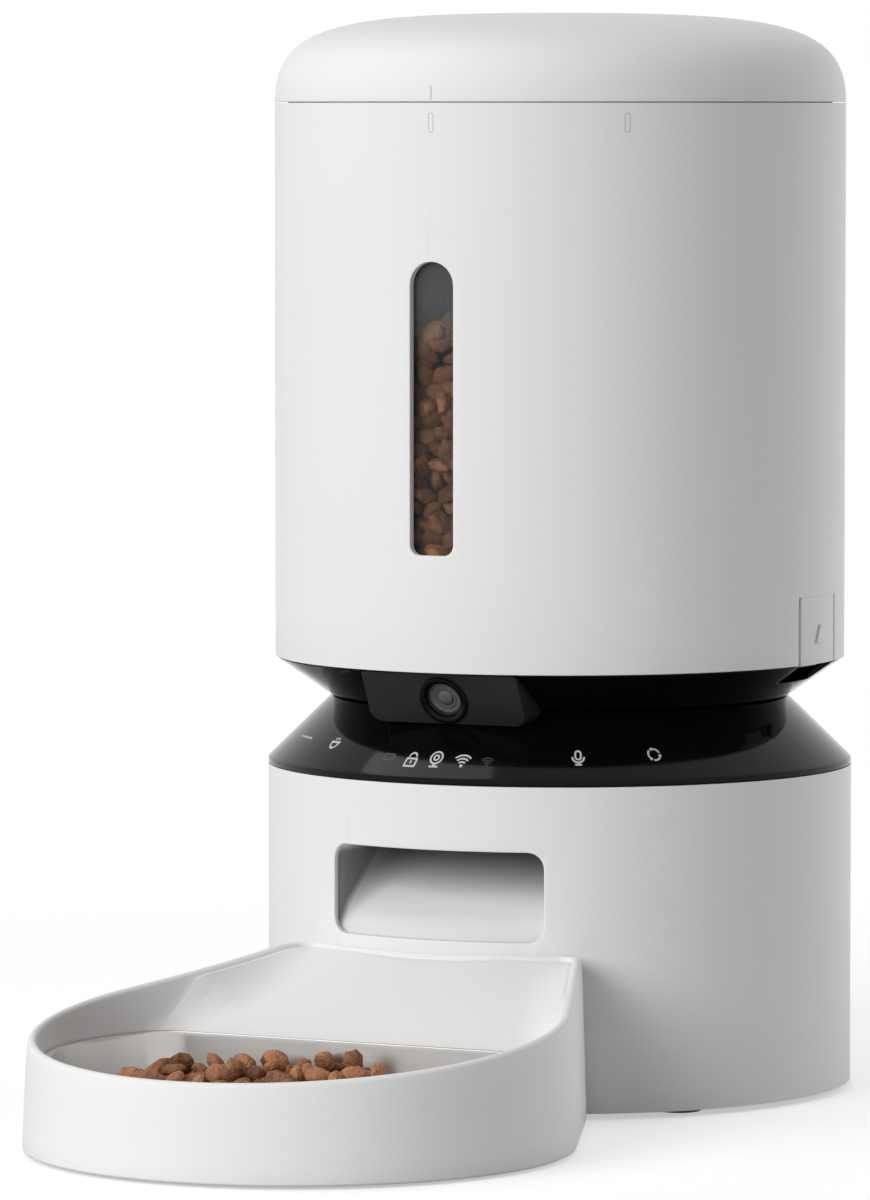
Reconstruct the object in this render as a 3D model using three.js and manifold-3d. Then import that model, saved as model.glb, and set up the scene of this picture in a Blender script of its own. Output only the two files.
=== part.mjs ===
// Camera pet feeder: a food tank on a round base, with a camera in its waist and a bowl tray in front.
// Millimetres, +Z up. The front, with the window, camera and bowl, faces -Y, and the floor is Z = 0.
// Every piece is modelled about the housing's own axis. Azimuths are degrees from the front towards +X.
import * as THREE from 'three';
import { mergeVertices } from 'three/addons/utils/BufferGeometryUtils.js';
import Module from 'manifold-3d';

const wasm = await Module();
wasm.setup();

// Shared fits, and the facets of a full turn
const fit = { gap: 0.3, slide: 0.5, overrun: 3, weld: 0.4, seam: 0.5 };
const facets = { shell: 44, hidden: 32, part: 22, small: 12, pin: 8, hex: 6, corner: 4 };
const slotEndShare = 0.48;
const rad = THREE.MathUtils.degToRad;

// Driving dimensions, piece by piece
const foot = { height: 2, radius: 8, inset: 15, azimuth: 54, recess: 1.2 };
const base = { radius: 100, wall: 2.6, height: 108.5, edge: 0.6 };
const floorPlate = { thickness: 2.4 };
const ring = { band: 1.8, edge: 1.1, coneHeight: 20.1, waistInset: 19.3, wallAcross: 3.2 };
const cradle = { coneHeight: 13, rim: 2.6, plate: 2.4, cupInset: 16.2, cupDepth: 17, shaftRadius: 5.5, setIn: 0.5 };
const tank = { radius: 97.5, wall: 2.4, height: 188.6 };
const lid = { height: 30.2, wall: 2.4, shoulderShare: 0.9, crownShare: 0.75, outerSteps: 8, innerSteps: 4 };
const windowSlot = { width: 16, bottom: 39, height: 97.3, lowCorner: 3.5, topShare: 0.495, paneWall: 2.3, paneLap: 5 };
const funnel = { wall: 2.4, throatHeight: 31, coneHeight: 29, rim: 3.5 };
const outlet = { inner: 16, rim: 6, halfAngle: 40, plate: 2.2 };
const tankFloor = { lift: 1, thickness: 2.2 };
const latch = { halfAngle: 8.1, height: 22.7, noseDepth: 3, noseWidth: 14, noseInset: 1.6, noseDrop: 2.3, noseHeight: 5.4, swing: 4,
  notchDepth: 6, sideGap: 0.36, floorGap: 2 };
const rotor = { vanes: 6, vane: 2.6, height: 23, hub: 12, stub: 8.6, cap: 6, tipGap: 1.2, fingers: 2, fingerReach: 26,
  fingerHeight: 4.2 };
const shield = { halfAngle: 46, thickness: 2, hubGap: 1.5 };
const liner = { plate: 2.2, skirt: 2.4, depth: 13, lugHeight: 3.4, dropIn: 1, rimGap: 0.7, inset: 2.2, bevel: 0.8 };
const bayonet = { count: 4, ribAngle: 4, turn: 39.1, clearAngle: 0.6, ribHeight: 12 };
const seal = { height: 4, lip: 0.9 };
const desiccant = { radius: 30, wall: 2, height: 14, cover: 2, slots: 8, slotWidth: 3, slotInner: 9, slotOuter: 24 };
const mouth = { width: 78.4, height: 30, sill: 56.8, corner: 5.5 };
const chute = { wall: 2, inletRim: 4, inletBack: 14, ceiling: 30 };
const cameraBlock = { halfWidth: 28.8, height: 17.2, topInset: 4.4, bottomInset: 13, corner: 4.5, depth: 22 };
const lens = { bezel: 8.8, bezelWall: 2.6, bezelHeight: 1.6, seat: 1, barrel: 5.4, barrelLength: 5, glassRadius: 4.3,
  glassDome: 1.3, glassSet: 1.2, board: 1.2, lower: 0.5 };
const indicator = { thickness: 2.2, halfAngle: 62, footGap: 3, topGap: 1.4 };
const battery = { cellLength: 61, cellDiameter: 34, cells: 3, wall: 2.4, speakerGap: 3, ledge: 3, contact: 0.8 };
const cover = { thickness: 2.2, hingeInset: 1.1 };
const grille = { slots: 5, slotWidth: 2.6, pitch: 5.4, slotLength: 22, inset: 28 };
const speaker = { radius: 18, flange: 2.2, magnet: 11, height: 15 };
const screw = { head: 3.4, shank: 1.6, headHeight: 1.8, length: 9, inset: 12, azimuth: 28 };
const board = { thickness: 1.6, length: 60, height: 60, inset: 24, centreY: 5, lift: 2.4, guide: 5, guideHeight: 14 };
const socket = { width: 12, height: 8, depth: 7, slotWidth: 9, slotHeight: 3.3, slotDepth: 5.5, centreZ: 22,
  recessWidth: 15, recessHeight: 9, recessDepth: 1.2 };
const gear = { module: 1.5, smallTeeth: 9, largeTeeth: 25, face: 5, addendumShare: 0.85, dedendumShare: 1.15,
  toothShare: 0.4, tipShare: 0.45, rootShare: 1.3, hub: 1 };
const gearFrame = { plate: 2.4, drop: 21, halfWidth: 26, frontY: 21, backY: 66, corner: 6, leg: 3.6, legX: 21,
  legFrontY: 12, legBackY: 42, air: 1.6, pillarInset: 4 };
const shaft = { radius: 4, hex: 4.6, hexHeight: 13, bush: 2.6, bushHeight: 4 };
const axle = { radius: 2 };
const motor = { radius: 12, length: 29, shaft: 1.6, boss: 5, bossHeight: 1.6 };
const tray = { radius: 89.2, reach: 90.4, flare: 23, lift: 1, draft: 2.4, wall: 3.2, floor: 2.4, backWall: 3,
  backHeight: 53.8, frontHeight: 31.2, dipHeight: 44, dipReach: 40, hookWidth: 12, hookHeight: 3.6, hookLength: 8, hookX: 24, hookZ: 20 };
const bowl = { radius: 80.9, chord: 38, corner: 13, wall: 0.9, rimDrop: 1.5, lip: 2.4, draft: 9,
  bottomEdge: 11, edgeSteps: 4 };
const slide = { slope: 27 };
const pad = { radius: 6, x: 40, ahead: 47.6, recess: 1 };

// Heights above the floor, from the ground up
const baseBottom = foot.height;
const baseTop = baseBottom + base.height;
const floorTop = baseBottom + floorPlate.thickness;
const ringBottom = baseTop + fit.gap;
const coneFoot = ringBottom + ring.band + ring.edge;
const ringTop = coneFoot + ring.coneHeight;
const plateBottom = ringTop + fit.gap;
const plateTop = plateBottom + cradle.plate;
const cupBottom = plateBottom - cradle.cupDepth;
const cupFloor = cupBottom + cradle.plate;
const cradleTop = plateBottom + cradle.coneHeight;
const tankBottom = cradleTop + fit.gap;
const tankTop = tankBottom + tank.height;
const lidBottom = tankTop + fit.seam;
const throatBottom = cupFloor + cradle.setIn;
const throatTop = throatBottom + funnel.throatHeight;
const funnelTop = throatTop + funnel.coneHeight;
const rotorBottom = throatBottom + outlet.plate + fit.gap;

// Radii and reaches that follow from the values above
const baseInside = base.radius - base.wall;
const tankInside = tank.radius - tank.wall;
const waistRadius = tank.radius - ring.waistInset;
const cupRadius = waistRadius - cradle.cupInset;
const throatRadius = cupRadius - cradle.setIn - fit.gap;
const throatInside = throatRadius - funnel.wall;
const linerRadius = tankInside - liner.inset;
const sealInside = linerRadius + fit.gap;
const cupOutside = cupRadius + cradle.plate;
const cradleRim = tank.radius - fit.slide;
const outletOuter = cupRadius - outlet.rim;
const speakerY = base.radius - grille.inset;
const boardX = base.radius - board.inset;
const trayY = base.radius + tray.reach;
// Further out than the base and the tank together, for cuts that run clear of both
const farOut = base.radius + tank.radius;

// A geometry as a manifold-3d solid: shared corners merged, slivers with no area dropped, faces turned outwards
function toSolid(geometry) {
  const bare = geometry.clone();
  bare.deleteAttribute('normal');
  bare.deleteAttribute('uv');
  const merged = mergeVertices(bare, 1e-4);
  const corners = merged.index.array;
  const kept = [];
  for (let i = 0; i < corners.length; i += 3) {
    const [a, b, c] = [corners[i], corners[i + 1], corners[i + 2]];
    if (a !== b && b !== c && c !== a) kept.push(a, b, c);
  }
  const vertProperties = merged.attributes.position.array;
  const made = new wasm.Manifold(new wasm.Mesh({ numProp: 3, vertProperties, triVerts: new Uint32Array(kept) }));
  if (made.volume() > 0) return made;
  for (let i = 0; i < kept.length; i += 3) [kept[i], kept[i + 1]] = [kept[i + 1], kept[i]];
  return new wasm.Manifold(new wasm.Mesh({ numProp: 3, vertProperties, triVerts: new Uint32Array(kept) }));
}

function toGeometry(made) {
  const mesh = made.getMesh();
  const places = new Float32Array(mesh.numVert * 3);
  for (let i = 0; i < mesh.numVert; i++) {
    places.set(mesh.vertProperties.subarray(i * mesh.numProp, i * mesh.numProp + 3), i * 3);
  }
  const geometry = new THREE.BufferGeometry();
  geometry.setAttribute('position', new THREE.BufferAttribute(places, 3));
  geometry.setIndex(new THREE.BufferAttribute(mesh.triVerts, 1));
  return geometry;
}

const cut = (whole, ...tools) => toGeometry(tools.reduce((s, t) => s.subtract(toSolid(t)), toSolid(whole)));
const join = (...parts) => toGeometry(parts.slice(1).reduce((s, p) => s.add(toSolid(p)), toSolid(parts[0])));
const common = (a, b) => toGeometry(toSolid(a).intersect(toSolid(b)));

// A closed outline of [radius, height] points, turned once round the Z axis
function revolve(outline, count = facets.shell) {
  const points = [...outline, outline[0]].map(([r, z]) => new THREE.Vector2(r, z));
  return new THREE.LatheGeometry(points, count).rotateX(Math.PI / 2);
}

const disc = (radius, low, high, count) => revolve([[0, low], [radius, low], [radius, high], [0, high]], count);
const tube = (outer, inner, low, high, count) =>
  revolve([[inner, low], [outer, low], [outer, high], [inner, high]], count);

// A box between two corners
function block([x0, x1], [y0, y1], [z0, z1]) {
  const box = new THREE.BoxGeometry(x1 - x0, y1 - y0, z1 - z0);
  return box.translate((x0 + x1) / 2, (y0 + y1) / 2, (z0 + z1) / 2);
}

// A plan outline raised from one height to another
function prism(shape, low, high, count = facets.part) {
  const options = { depth: high - low, bevelEnabled: false, curveSegments: count };
  return new THREE.ExtrudeGeometry(shape, options).translate(0, 0, low);
}

// A side outline of (y, z) points, spread from left to right along X
function across(outline, left, right) {
  const shape = Array.isArray(outline) ? outlineShape(outline) : outline;
  const geometry = prism(shape, left, right, facets.small);
  return geometry.applyMatrix4(new THREE.Matrix4().set(0, 0, 1, 0, 1, 0, 0, 0, 0, 1, 0, 0, 0, 0, 0, 1));
}

// A front outline of (x, z) points, sunk from y = -near back to y = -far
function frontwards(shape, near, far) {
  return prism(shape, near, far, facets.small).rotateX(Math.PI / 2);
}

function outlineShape(points) {
  return new THREE.Shape(points.map(([x, y]) => new THREE.Vector2(x, y)));
}

// Points along a circle's arc, from one angle to another
const arc = (x, y, radius, from, to, count) =>
  new THREE.EllipseCurve(x, y, radius, radius, from, to, to < from).getPoints(count);

// A rectangle centred on (x, y); its lower and upper corners may have different radii
function roundedRectangle(x, y, width, height, low, high = low, count = facets.corner) {
  const [left, right, bottom, top] = [x - width / 2, x + width / 2, y - height / 2, y + height / 2];
  const quarter = Math.PI / 2;
  return new THREE.Shape([
    ...arc(right - low, bottom + low, low, -quarter, 0, count),
    ...arc(right - high, top - high, high, 0, quarter, count),
    ...arc(left + high, top - high, high, quarter, 2 * quarter, count),
    ...arc(left + low, bottom + low, low, 2 * quarter, 3 * quarter, count)]);
}

// A sector of a ring between two azimuths, as a plan outline
function sectorShape(inner, outer, from, to, count) {
  const [start, end] = [rad(from - 90), rad(to - 90)];
  return new THREE.Shape([...arc(0, 0, outer, start, end, count), ...arc(0, 0, inner, end, start, count)]);
}

const sector = (inner, outer, from, to, low, high, count = facets.small) =>
  prism(sectorShape(inner, outer, from, to, count), low, high);
const atAzimuth = (geometry, azimuth) => geometry.clone().rotateZ(rad(azimuth));
const polar = (radius, azimuth) => [radius * Math.sin(rad(azimuth)), -radius * Math.cos(rad(azimuth))];
const post = (x, y, radius, low, high, count = facets.pin) => disc(radius, low, high, count).translate(x, y, 0);

// A plan outline carried up through levels of [height, inset]; an inset draws it in towards (0, centreY)
function stacked(shape, centreY, reach, levels) {
  const last = levels.length - 1;
  const options = { depth: last, steps: last, bevelEnabled: false };
  const geometry = new THREE.ExtrudeGeometry(shape, options);
  const places = geometry.attributes.position;
  for (let i = 0; i < places.count; i++) {
    const [z, inset] = levels[Math.round(places.getZ(i))];
    const share = 1 - inset / reach;
    places.setXYZ(i, places.getX(i) * share, centreY + (places.getY(i) - centreY) * share, z);
  }
  return geometry;
}

// Base: the round shell with the chute's mouth, the floor plate and what is screwed to it

const mouthMiddle = baseBottom + mouth.sill + mouth.height / 2;
const mouthShape = (grow) =>
  roundedRectangle(0, mouthMiddle, mouth.width + 2 * grow, mouth.height + 2 * grow, mouth.corner + grow);

function baseShell() {
  const [outer, inner, low, high] = [base.radius, baseInside, baseBottom, baseTop];
  const wall = revolve([[inner, low], [outer - base.edge, low], [outer, low + base.edge], [outer, high], [inner, high]]);
  const sideDepth = Math.sqrt(inner ** 2 - (mouth.width / 2) ** 2);
  const opening = frontwards(mouthShape(0), sideDepth - fit.overrun, outer + fit.overrun);
  const hookSlots = [-1, 1].map((side) => {
    const half = tray.hookWidth / 2 + fit.slide;
    const x = side * tray.hookX;
    const z = tray.hookZ;
    return block([x - half, x + half], [-outer - fit.overrun, -outer / 2], [z - fit.slide, z + tray.hookHeight + fit.slide]);
  });
  const recess = roundedRectangle(0, socket.centreZ, socket.recessWidth, socket.recessHeight, socket.recessHeight / 3);
  const slot = roundedRectangle(0, socket.centreZ, socket.slotWidth, socket.slotHeight, socket.slotHeight * slotEndShare);
  const recessCut = frontwards(recess, outer - socket.recessDepth, outer + fit.overrun).rotateZ(Math.PI);
  const slotCut = frontwards(slot, inner - fit.overrun, outer + fit.overrun).rotateZ(Math.PI);
  return cut(wall, opening, ...hookSlots, recessCut, slotCut);
}

const batteryHalfX = (battery.cells * battery.cellDiameter) / 2 + fit.gap;
const batteryHalfY = battery.cellLength / 2 + battery.contact + fit.gap;
const batteryTop = floorTop + fit.gap + battery.cellDiameter + battery.wall;
const boxHalfX = batteryHalfX + battery.wall;
const boxHalfY = batteryHalfY + battery.wall;
const batteryY = speakerY - speaker.radius - battery.speakerGap - boxHalfY;
const hingeY = batteryY + batteryHalfY - cover.hingeInset - fit.gap;
const hingeZ = baseBottom + cover.thickness / 2;
const footAzimuths = [foot.azimuth, 180 - foot.azimuth, 180 + foot.azimuth, 360 - foot.azimuth];
const screwAzimuths = [screw.azimuth, 180 - screw.azimuth, 180 + screw.azimuth, 360 - screw.azimuth];

function boardGuide(y) {
  const [inner, outer] = [boardX - board.thickness - board.guide / 2, boardX + board.guide / 2];
  const body = block([-outer, -inner], [y - board.guide / 2, y + board.guide / 2], [floorTop - fit.weld, floorTop + board.guideHeight]);
  const away = Math.sign(y - board.centreY);
  const slotY = [y - away * board.guide, y + away * fit.gap].sort((a, b) => a - b);
  const slotX = [-boardX - fit.gap, -boardX + board.thickness + fit.gap];
  return cut(body, block(slotX, slotY, [floorTop + board.lift - fit.gap, floorTop + 2 * board.guideHeight]));
}

function baseFloor() {
  const [low, high] = [baseBottom, floorTop];
  const plate = disc(baseInside - fit.gap, low, high, facets.hidden);
  const guides = [-1, 1].map((end) => boardGuide(board.centreY + (end * board.length) / 2));
  const through = [low - fit.overrun, high + fit.overrun];
  const batteryHole = block([-batteryHalfX, batteryHalfX],
    [batteryY - batteryHalfY, batteryY + batteryHalfY], through);
  const recesses = footAzimuths.map((a) =>
    post(...polar(base.radius - foot.inset, a), foot.radius + fit.gap, low - fit.overrun, low + foot.recess, facets.small));
  const screwHoles = screwAzimuths.flatMap((a) => [
    post(...polar(base.radius - screw.inset, a), screw.shank + fit.gap, ...through),
    post(...polar(base.radius - screw.inset, a), screw.head + fit.gap, low - fit.overrun, low + screw.headHeight / 2)]);
  const soundSlots = [];
  for (let i = 0; i < grille.slots; i++) {
    const y = speakerY + (i - (grille.slots - 1) / 2) * grille.pitch;
    soundSlots.push(prism(roundedRectangle(0, y, grille.slotLength, grille.slotWidth, grille.slotWidth * slotEndShare), ...through, facets.pin / 4));
  }
  return cut(join(plate, ...guides), batteryHole, ...recesses, ...screwHoles, ...soundSlots);
}

const rubberFoot = (azimuth) =>
  post(...polar(base.radius - foot.inset, azimuth), foot.radius, 0, baseBottom + foot.recess - fit.gap, facets.small);

function baseScrew(azimuth) {
  const [x, y] = polar(base.radius - screw.inset, azimuth);
  const headTop = baseBottom + screw.headHeight / 2 - fit.gap;
  const head = post(x, y, screw.head, headTop - screw.headHeight / 2, headTop);
  const shank = post(x, y, screw.shank, headTop - fit.weld, headTop + screw.length);
  return join(head, shank);
}

function batteryBox() {
  const [low, high] = [floorTop + fit.gap, batteryTop];
  const y = batteryY;
  const outer = block([-boxHalfX, boxHalfX], [y - boxHalfY, y + boxHalfY], [low, high]);
  const inside = block([-batteryHalfX, batteryHalfX], [y - batteryHalfY, y + batteryHalfY],
    [low - fit.overrun, high - battery.wall]);
  return cut(outer, inside);
}

// A sprung contact plate at one end of the battery box
function batteryContact(end) {
  const wallY = batteryY + end * (batteryHalfY - fit.gap);
  const plateY = [wallY, wallY - end * battery.contact].sort((a, b) => a - b);
  const middle = floorTop + battery.cellDiameter / 2;
  const half = battery.cellDiameter / 3;
  return block([-batteryHalfX + battery.ledge, batteryHalfX - battery.ledge], plateY, [middle - half, middle + half]);
}

function batteryCover() {
  const frontY = batteryY - batteryHalfY + fit.gap;
  const half = batteryHalfX - fit.gap;
  const plate = block([-half, half], [frontY, hingeY], [baseBottom, baseBottom + cover.thickness]);
  const knuckle = across(circleShape(hingeY, hingeZ, cover.thickness / 2), -half, half);
  return join(plate, knuckle);
}

function circleShape(x, y, radius) {
  const shape = new THREE.Shape();
  shape.absarc(x, y, radius, 0, 2 * Math.PI, false);
  return shape;
}

function speakerUnit() {
  const low = floorTop + fit.gap;
  const [rim, magnet, flangeTop, top] = [speaker.radius, speaker.magnet, low + speaker.flange, low + speaker.height];
  const outline = [[0, low], [rim, low], [rim, flangeTop], [magnet, top - speaker.height / 3], [magnet, top], [0, top]];
  return revolve(outline, facets.small).translate(0, speakerY, 0);
}

function mainBoard() {
  const low = floorTop + board.lift;
  const half = board.length / 2;
  return block([-boardX, -boardX + board.thickness], [board.centreY - half, board.centreY + half], [low, low + board.height]);
}

function powerSocket() {
  const back = Math.sqrt((baseInside - fit.gap) ** 2 - (socket.width / 2) ** 2);
  const [low, high] = [socket.centreZ - socket.height / 2, socket.centreZ + socket.height / 2];
  const body = block([-socket.width / 2, socket.width / 2], [back - socket.depth, back], [low, high]);
  const slot = roundedRectangle(0, socket.centreZ, socket.slotWidth, socket.slotHeight, socket.slotHeight * slotEndShare);
  return cut(body, frontwards(slot, back - socket.slotDepth, back + fit.overrun).rotateZ(Math.PI));
}

// Chute: from under the rotor's outlet, down a slope, to the mouth in the base's front
function foodChute() {
  const top = cupBottom - fit.gap;
  const sill = baseBottom + mouth.sill;
  const ceiling = sill + mouth.height;
  const front = base.radius + fit.overrun;
  const [inletFront, inletBack] = [cupRadius - chute.inletRim, chute.inletBack];
  const rise = (top - chute.ceiling / 4 - sill) / (baseInside - inletBack);
  const slopeAt = (y) => sill + (baseInside - y) * rise;
  const thick = chute.wall * Math.hypot(1, rise);
  const bend = ceiling + chute.ceiling / 3;
  const halfIn = mouth.width / 2;
  const halfOut = halfIn + chute.wall;
  const inner = [[-front, slopeAt(front)], [-inletBack, slopeAt(inletBack)], [-inletBack, top + fit.overrun],
    [-inletFront, top + fit.overrun], [-inletFront, bend], [-inletFront - chute.ceiling / 3, ceiling], [-front, ceiling]];
  const outer = [[-front, slopeAt(front) - thick], [-inletBack + chute.wall, slopeAt(inletBack - chute.wall) - thick],
    [-inletBack + chute.wall, top], [-inletFront - chute.wall, top], [-inletFront - chute.wall, bend + chute.wall / 2],
    [-inletFront - chute.ceiling / 3 - chute.wall / 2, ceiling + chute.wall], [-front, ceiling + chute.wall]];
  const duct = cut(across(outer, -halfOut, halfOut), across(inner, -halfIn, halfIn));
  return common(duct, disc(baseInside - fit.gap, baseBottom, top));
}

// Waist: the control ring's cone, and the cradle's cone that carries the tank
function controlRing() {
  const inner = waistRadius - ring.wallAcross;
  const cone = revolve([
    [base.radius, ringBottom], [base.radius, ringBottom + ring.band], [base.radius - ring.edge, coneFoot],
    [waistRadius, ringTop], [inner, ringTop], [base.radius - ring.edge - ring.wallAcross, coneFoot],
    [base.radius - ring.wallAcross, ringBottom]]);
  const bezelRoom = alongSight(disc(lens.bezel + fit.gap, -lens.seat - fit.gap, lens.bezelHeight + fit.gap));
  return cut(cone, bezelRoom);
}

function tankCradle() {
  const body = revolve([
    [cradle.shaftRadius, cupBottom], [cupOutside, cupBottom], [cupOutside, plateBottom],
    [waistRadius, plateBottom], [cradleRim, cradleTop], [cradleRim - cradle.rim, cradleTop],
    [waistRadius - cradle.rim / 2, plateTop], [cupRadius, plateTop], [cupRadius, cupFloor],
    [cradle.shaftRadius, cupFloor]]);
  const outletHole = sector(outlet.inner, outletOuter, -outlet.halfAngle, outlet.halfAngle,
    cupBottom - fit.overrun, cupFloor + fit.overrun);
  const half = cameraBlock.halfWidth + fit.gap;
  const cameraNotch = block([-half, half], [-farOut, fit.gap - blockBack], [plateTop, cradleTop + fit.overrun]);
  const latchNotches = Object.values(latchAzimuths).map((azimuth) => atAzimuth(
    sector(waistRadius, farOut, -latch.halfAngle, latch.halfAngle, cradleTop - latch.notchDepth,
      cradleTop + fit.overrun, facets.pin / 2), azimuth));
  const lensGroove = alongSight(disc(lens.barrel + fit.gap, -base.radius, 0, facets.small));
  return cut(body, outletHole, cameraNotch, lensGroove, ...latchNotches);
}

// The indicator board lies under the front of the cone
function indicatorBoard() {
  const slope = (base.radius - ring.edge - waistRadius) / ring.coneHeight;
  const under = (z) => waistRadius - ring.wallAcross + (ringTop - z) * slope - fit.slide;
  const [low, high] = [coneFoot + indicator.footGap, ringTop - indicator.topGap];
  const whole = revolve([[under(low), low], [under(high), high],
    [under(high) - indicator.thickness, high], [under(low) - indicator.thickness, low]]);
  return common(whole, sector(waistRadius / 2, base.radius, -indicator.halfAngle, indicator.halfAngle, coneFoot, ringTop));
}

// Camera block: a flat face that leans forward, so that the lens looks down at the bowl
const blockTop = cradleTop - fit.gap;
const blockBottom = blockTop - cameraBlock.height;
const faceTop = cradleRim - cameraBlock.topInset;
const faceBottom = cradleRim - cameraBlock.bottomInset;
const blockBack = cradleRim - cameraBlock.depth;
const faceTilt = Math.atan((faceTop - faceBottom) / cameraBlock.height);
const lensPlace = { y: -(faceTop + faceBottom) / 2, z: (blockTop + blockBottom) / 2 - lens.lower };

// A lens piece is turned about its own axis, then laid along the line of sight
const alongSight = (geometry) => geometry.rotateX(Math.PI / 2 + faceTilt).translate(0, lensPlace.y, lensPlace.z);
const seatDepth = -lens.seat - fit.gap;
const barrelFront = seatDepth - fit.gap;
const barrelBack = barrelFront - lens.barrelLength;
const boardBack = barrelBack - fit.gap - lens.board;

function cameraHousing() {
  const [half, low, high] = [cameraBlock.halfWidth, blockBottom, blockTop];
  const middle = (low + high + cameraBlock.corner) / 2;
  const front = roundedRectangle(0, middle, 2 * half, high - low + cameraBlock.corner, cameraBlock.corner);
  const bar = frontwards(front, blockBack, farOut);
  const leaning = across([[-faceBottom, low], [-faceTop, high], [0, high], [0, low]], -base.radius, base.radius);
  const lipRadius = waistRadius + ((cradleRim - waistRadius) * cradle.plate) / cradle.coneHeight;
  const seat = revolve([[0, ringTop - fit.gap], [waistRadius + fit.gap, ringTop - fit.gap],
    [waistRadius + fit.gap, plateBottom], [lipRadius + fit.slide, plateTop + fit.gap], [0, plateTop + fit.gap]]);
  const cone = revolve([[0, ringBottom], [base.radius + fit.slide, coneFoot], [waistRadius + fit.slide, ringTop], [0, ringTop]]);
  const bore = alongSight(disc(lens.barrel + fit.gap, -base.radius, base.wall, facets.small));
  const counterbore = alongSight(disc(lens.bezel + fit.gap, seatDepth, base.wall * 2, facets.part));
  return cut(common(bar, leaning), seat, cone, bore, counterbore);
}

function cameraBezel() {
  const [low, high] = [-lens.seat, -lens.seat + lens.bezelHeight];
  const [outer, inner] = [lens.bezel, lens.bezel - lens.bezelWall];
  return alongSight(revolve([[inner, low], [outer, low], [outer, high - lens.seat / 2], [outer - lens.seat / 2, high],
    [inner + lens.seat, high]], facets.part));
}

function cameraBarrel() {
  const [front, back, pocket] = [barrelFront, barrelBack, barrelFront - lens.glassSet];
  const radius = lens.glassRadius + fit.gap;
  return alongSight(revolve([[0, back], [lens.barrel, back], [lens.barrel, front], [radius, front], [radius, pocket], [0, pocket]],
    facets.small));
}

function cameraGlass() {
  const low = barrelFront - lens.glassSet + fit.gap;
  const steps = 5;
  const dome = [];
  for (let i = 0; i <= steps; i++) {
    const turn = (i / steps) * (Math.PI / 2);
    dome.push([lens.glassRadius * Math.cos(turn), low + lens.glassSet / 2 + lens.glassDome * Math.sin(turn)]);
  }
  return alongSight(revolve([[0, low], [lens.glassRadius, low], ...dome], facets.small));
}

const cameraBoard = () => alongSight(disc(lens.barrel, boardBack, barrelBack - fit.gap, facets.small));

// Drive: motor, pinion, double gear and drive gear between two plates, with the shaft up to the rotor
const pitch = (teeth) => (gear.module * teeth) / 2;
const centres = pitch(gear.smallTeeth) + pitch(gear.largeTeeth);
const frameTop = cupBottom - gearFrame.drop;
const upperPlate = frameTop - gearFrame.plate;
const levelB = upperPlate - gearFrame.air - gear.face;
const levelA = levelB - gear.hub - gear.face;
const lowerPlate = levelA - gearFrame.air - gearFrame.plate;

// A spur wheel's plan outline: straight-flanked teeth, the first centred on the angle start
function gearShape(teeth, start, bore) {
  const shape = new THREE.Shape();
  const pitchAngle = (2 * Math.PI) / teeth;
  const root = pitch(teeth) - gear.module * gear.dedendumShare;
  const tip = pitch(teeth) + gear.module * gear.addendumShare;
  const half = (pitchAngle * gear.toothShare) / 2;
  const corners = [[root, -half * gear.rootShare], [tip, -half * gear.tipShare],
    [tip, half * gear.tipShare], [root, half * gear.rootShare]];
  for (let i = 0; i < teeth; i++) {
    for (const [radius, turn] of corners) {
      const angle = start + i * pitchAngle + turn;
      const step = i === 0 && turn === corners[0][1] ? 'moveTo' : 'lineTo';
      shape[step](radius * Math.cos(angle), radius * Math.sin(angle));
    }
  }
  if (bore) shape.holes.push(circleShape(0, 0, bore));
  return shape;
}

// Meshing teeth face each other along Y: the rear wheel has a tooth at -Y, the front wheel a gap at +Y
const gapAtRear = (teeth) => Math.PI / 2 + Math.PI / teeth;
const toothAtFront = -Math.PI / 2;

function driveGear() {
  const wheel = prism(gearShape(gear.largeTeeth, gapAtRear(gear.largeTeeth)), levelB, levelB + gear.face);
  const low = lowerPlate + gearFrame.plate + fit.gap;
  const hexLow = cupBottom - fit.gap;
  const hexHigh = rotorBottom + shaft.hexHeight - fit.slide;
  const spindle = disc(shaft.radius, low, hexLow + fit.weld, facets.small);
  const key = disc(shaft.hex, hexLow, hexHigh, facets.hex);
  return join(wheel, spindle, key);
}

function doubleGear() {
  const hole = axle.radius + fit.gap;
  const big = prism(gearShape(gear.largeTeeth, gapAtRear(gear.largeTeeth), hole), levelA, levelA + gear.face, facets.pin);
  const small = prism(gearShape(gear.smallTeeth, toothAtFront, hole), levelA + gear.face - fit.weld, levelB + gear.face, facets.pin);
  return join(big, small).translate(0, centres, 0);
}

function motorPinion() {
  const wheel = prism(gearShape(gear.smallTeeth, toothAtFront), levelA, levelA + gear.face);
  const stem = disc(motor.shaft, lowerPlate - motor.bossHeight * 2, levelA + fit.weld, facets.pin);
  return join(wheel, stem).translate(0, 2 * centres, 0);
}

const doubleGearAxle = () =>
  post(0, centres, axle.radius, lowerPlate - fit.gap, frameTop + fit.gap, facets.pin);

function framePlate(low, holes) {
  const middle = (gearFrame.backY - gearFrame.frontY) / 2;
  const length = gearFrame.backY + gearFrame.frontY;
  const shape = roundedRectangle(0, middle, 2 * gearFrame.halfWidth, length, gearFrame.corner);
  for (const [y, radius] of holes) shape.holes.push(circleShape(0, y, radius));
  return prism(shape, low, low + gearFrame.plate, facets.pin);
}

const legPlaces = [-1, 1].flatMap((side) =>
  [-gearFrame.legFrontY, gearFrame.legBackY].map((y) => [side * gearFrame.legX, y]));

function gearFrameLower() {
  const plate = framePlate(lowerPlate, [[centres, axle.radius + fit.gap], [2 * centres, motor.boss + fit.gap]]);
  const legs = legPlaces.map(([x, y]) =>
    post(x, y, gearFrame.leg, batteryTop + fit.gap, lowerPlate + fit.weld, facets.pin));
  return join(plate, ...legs);
}

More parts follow.
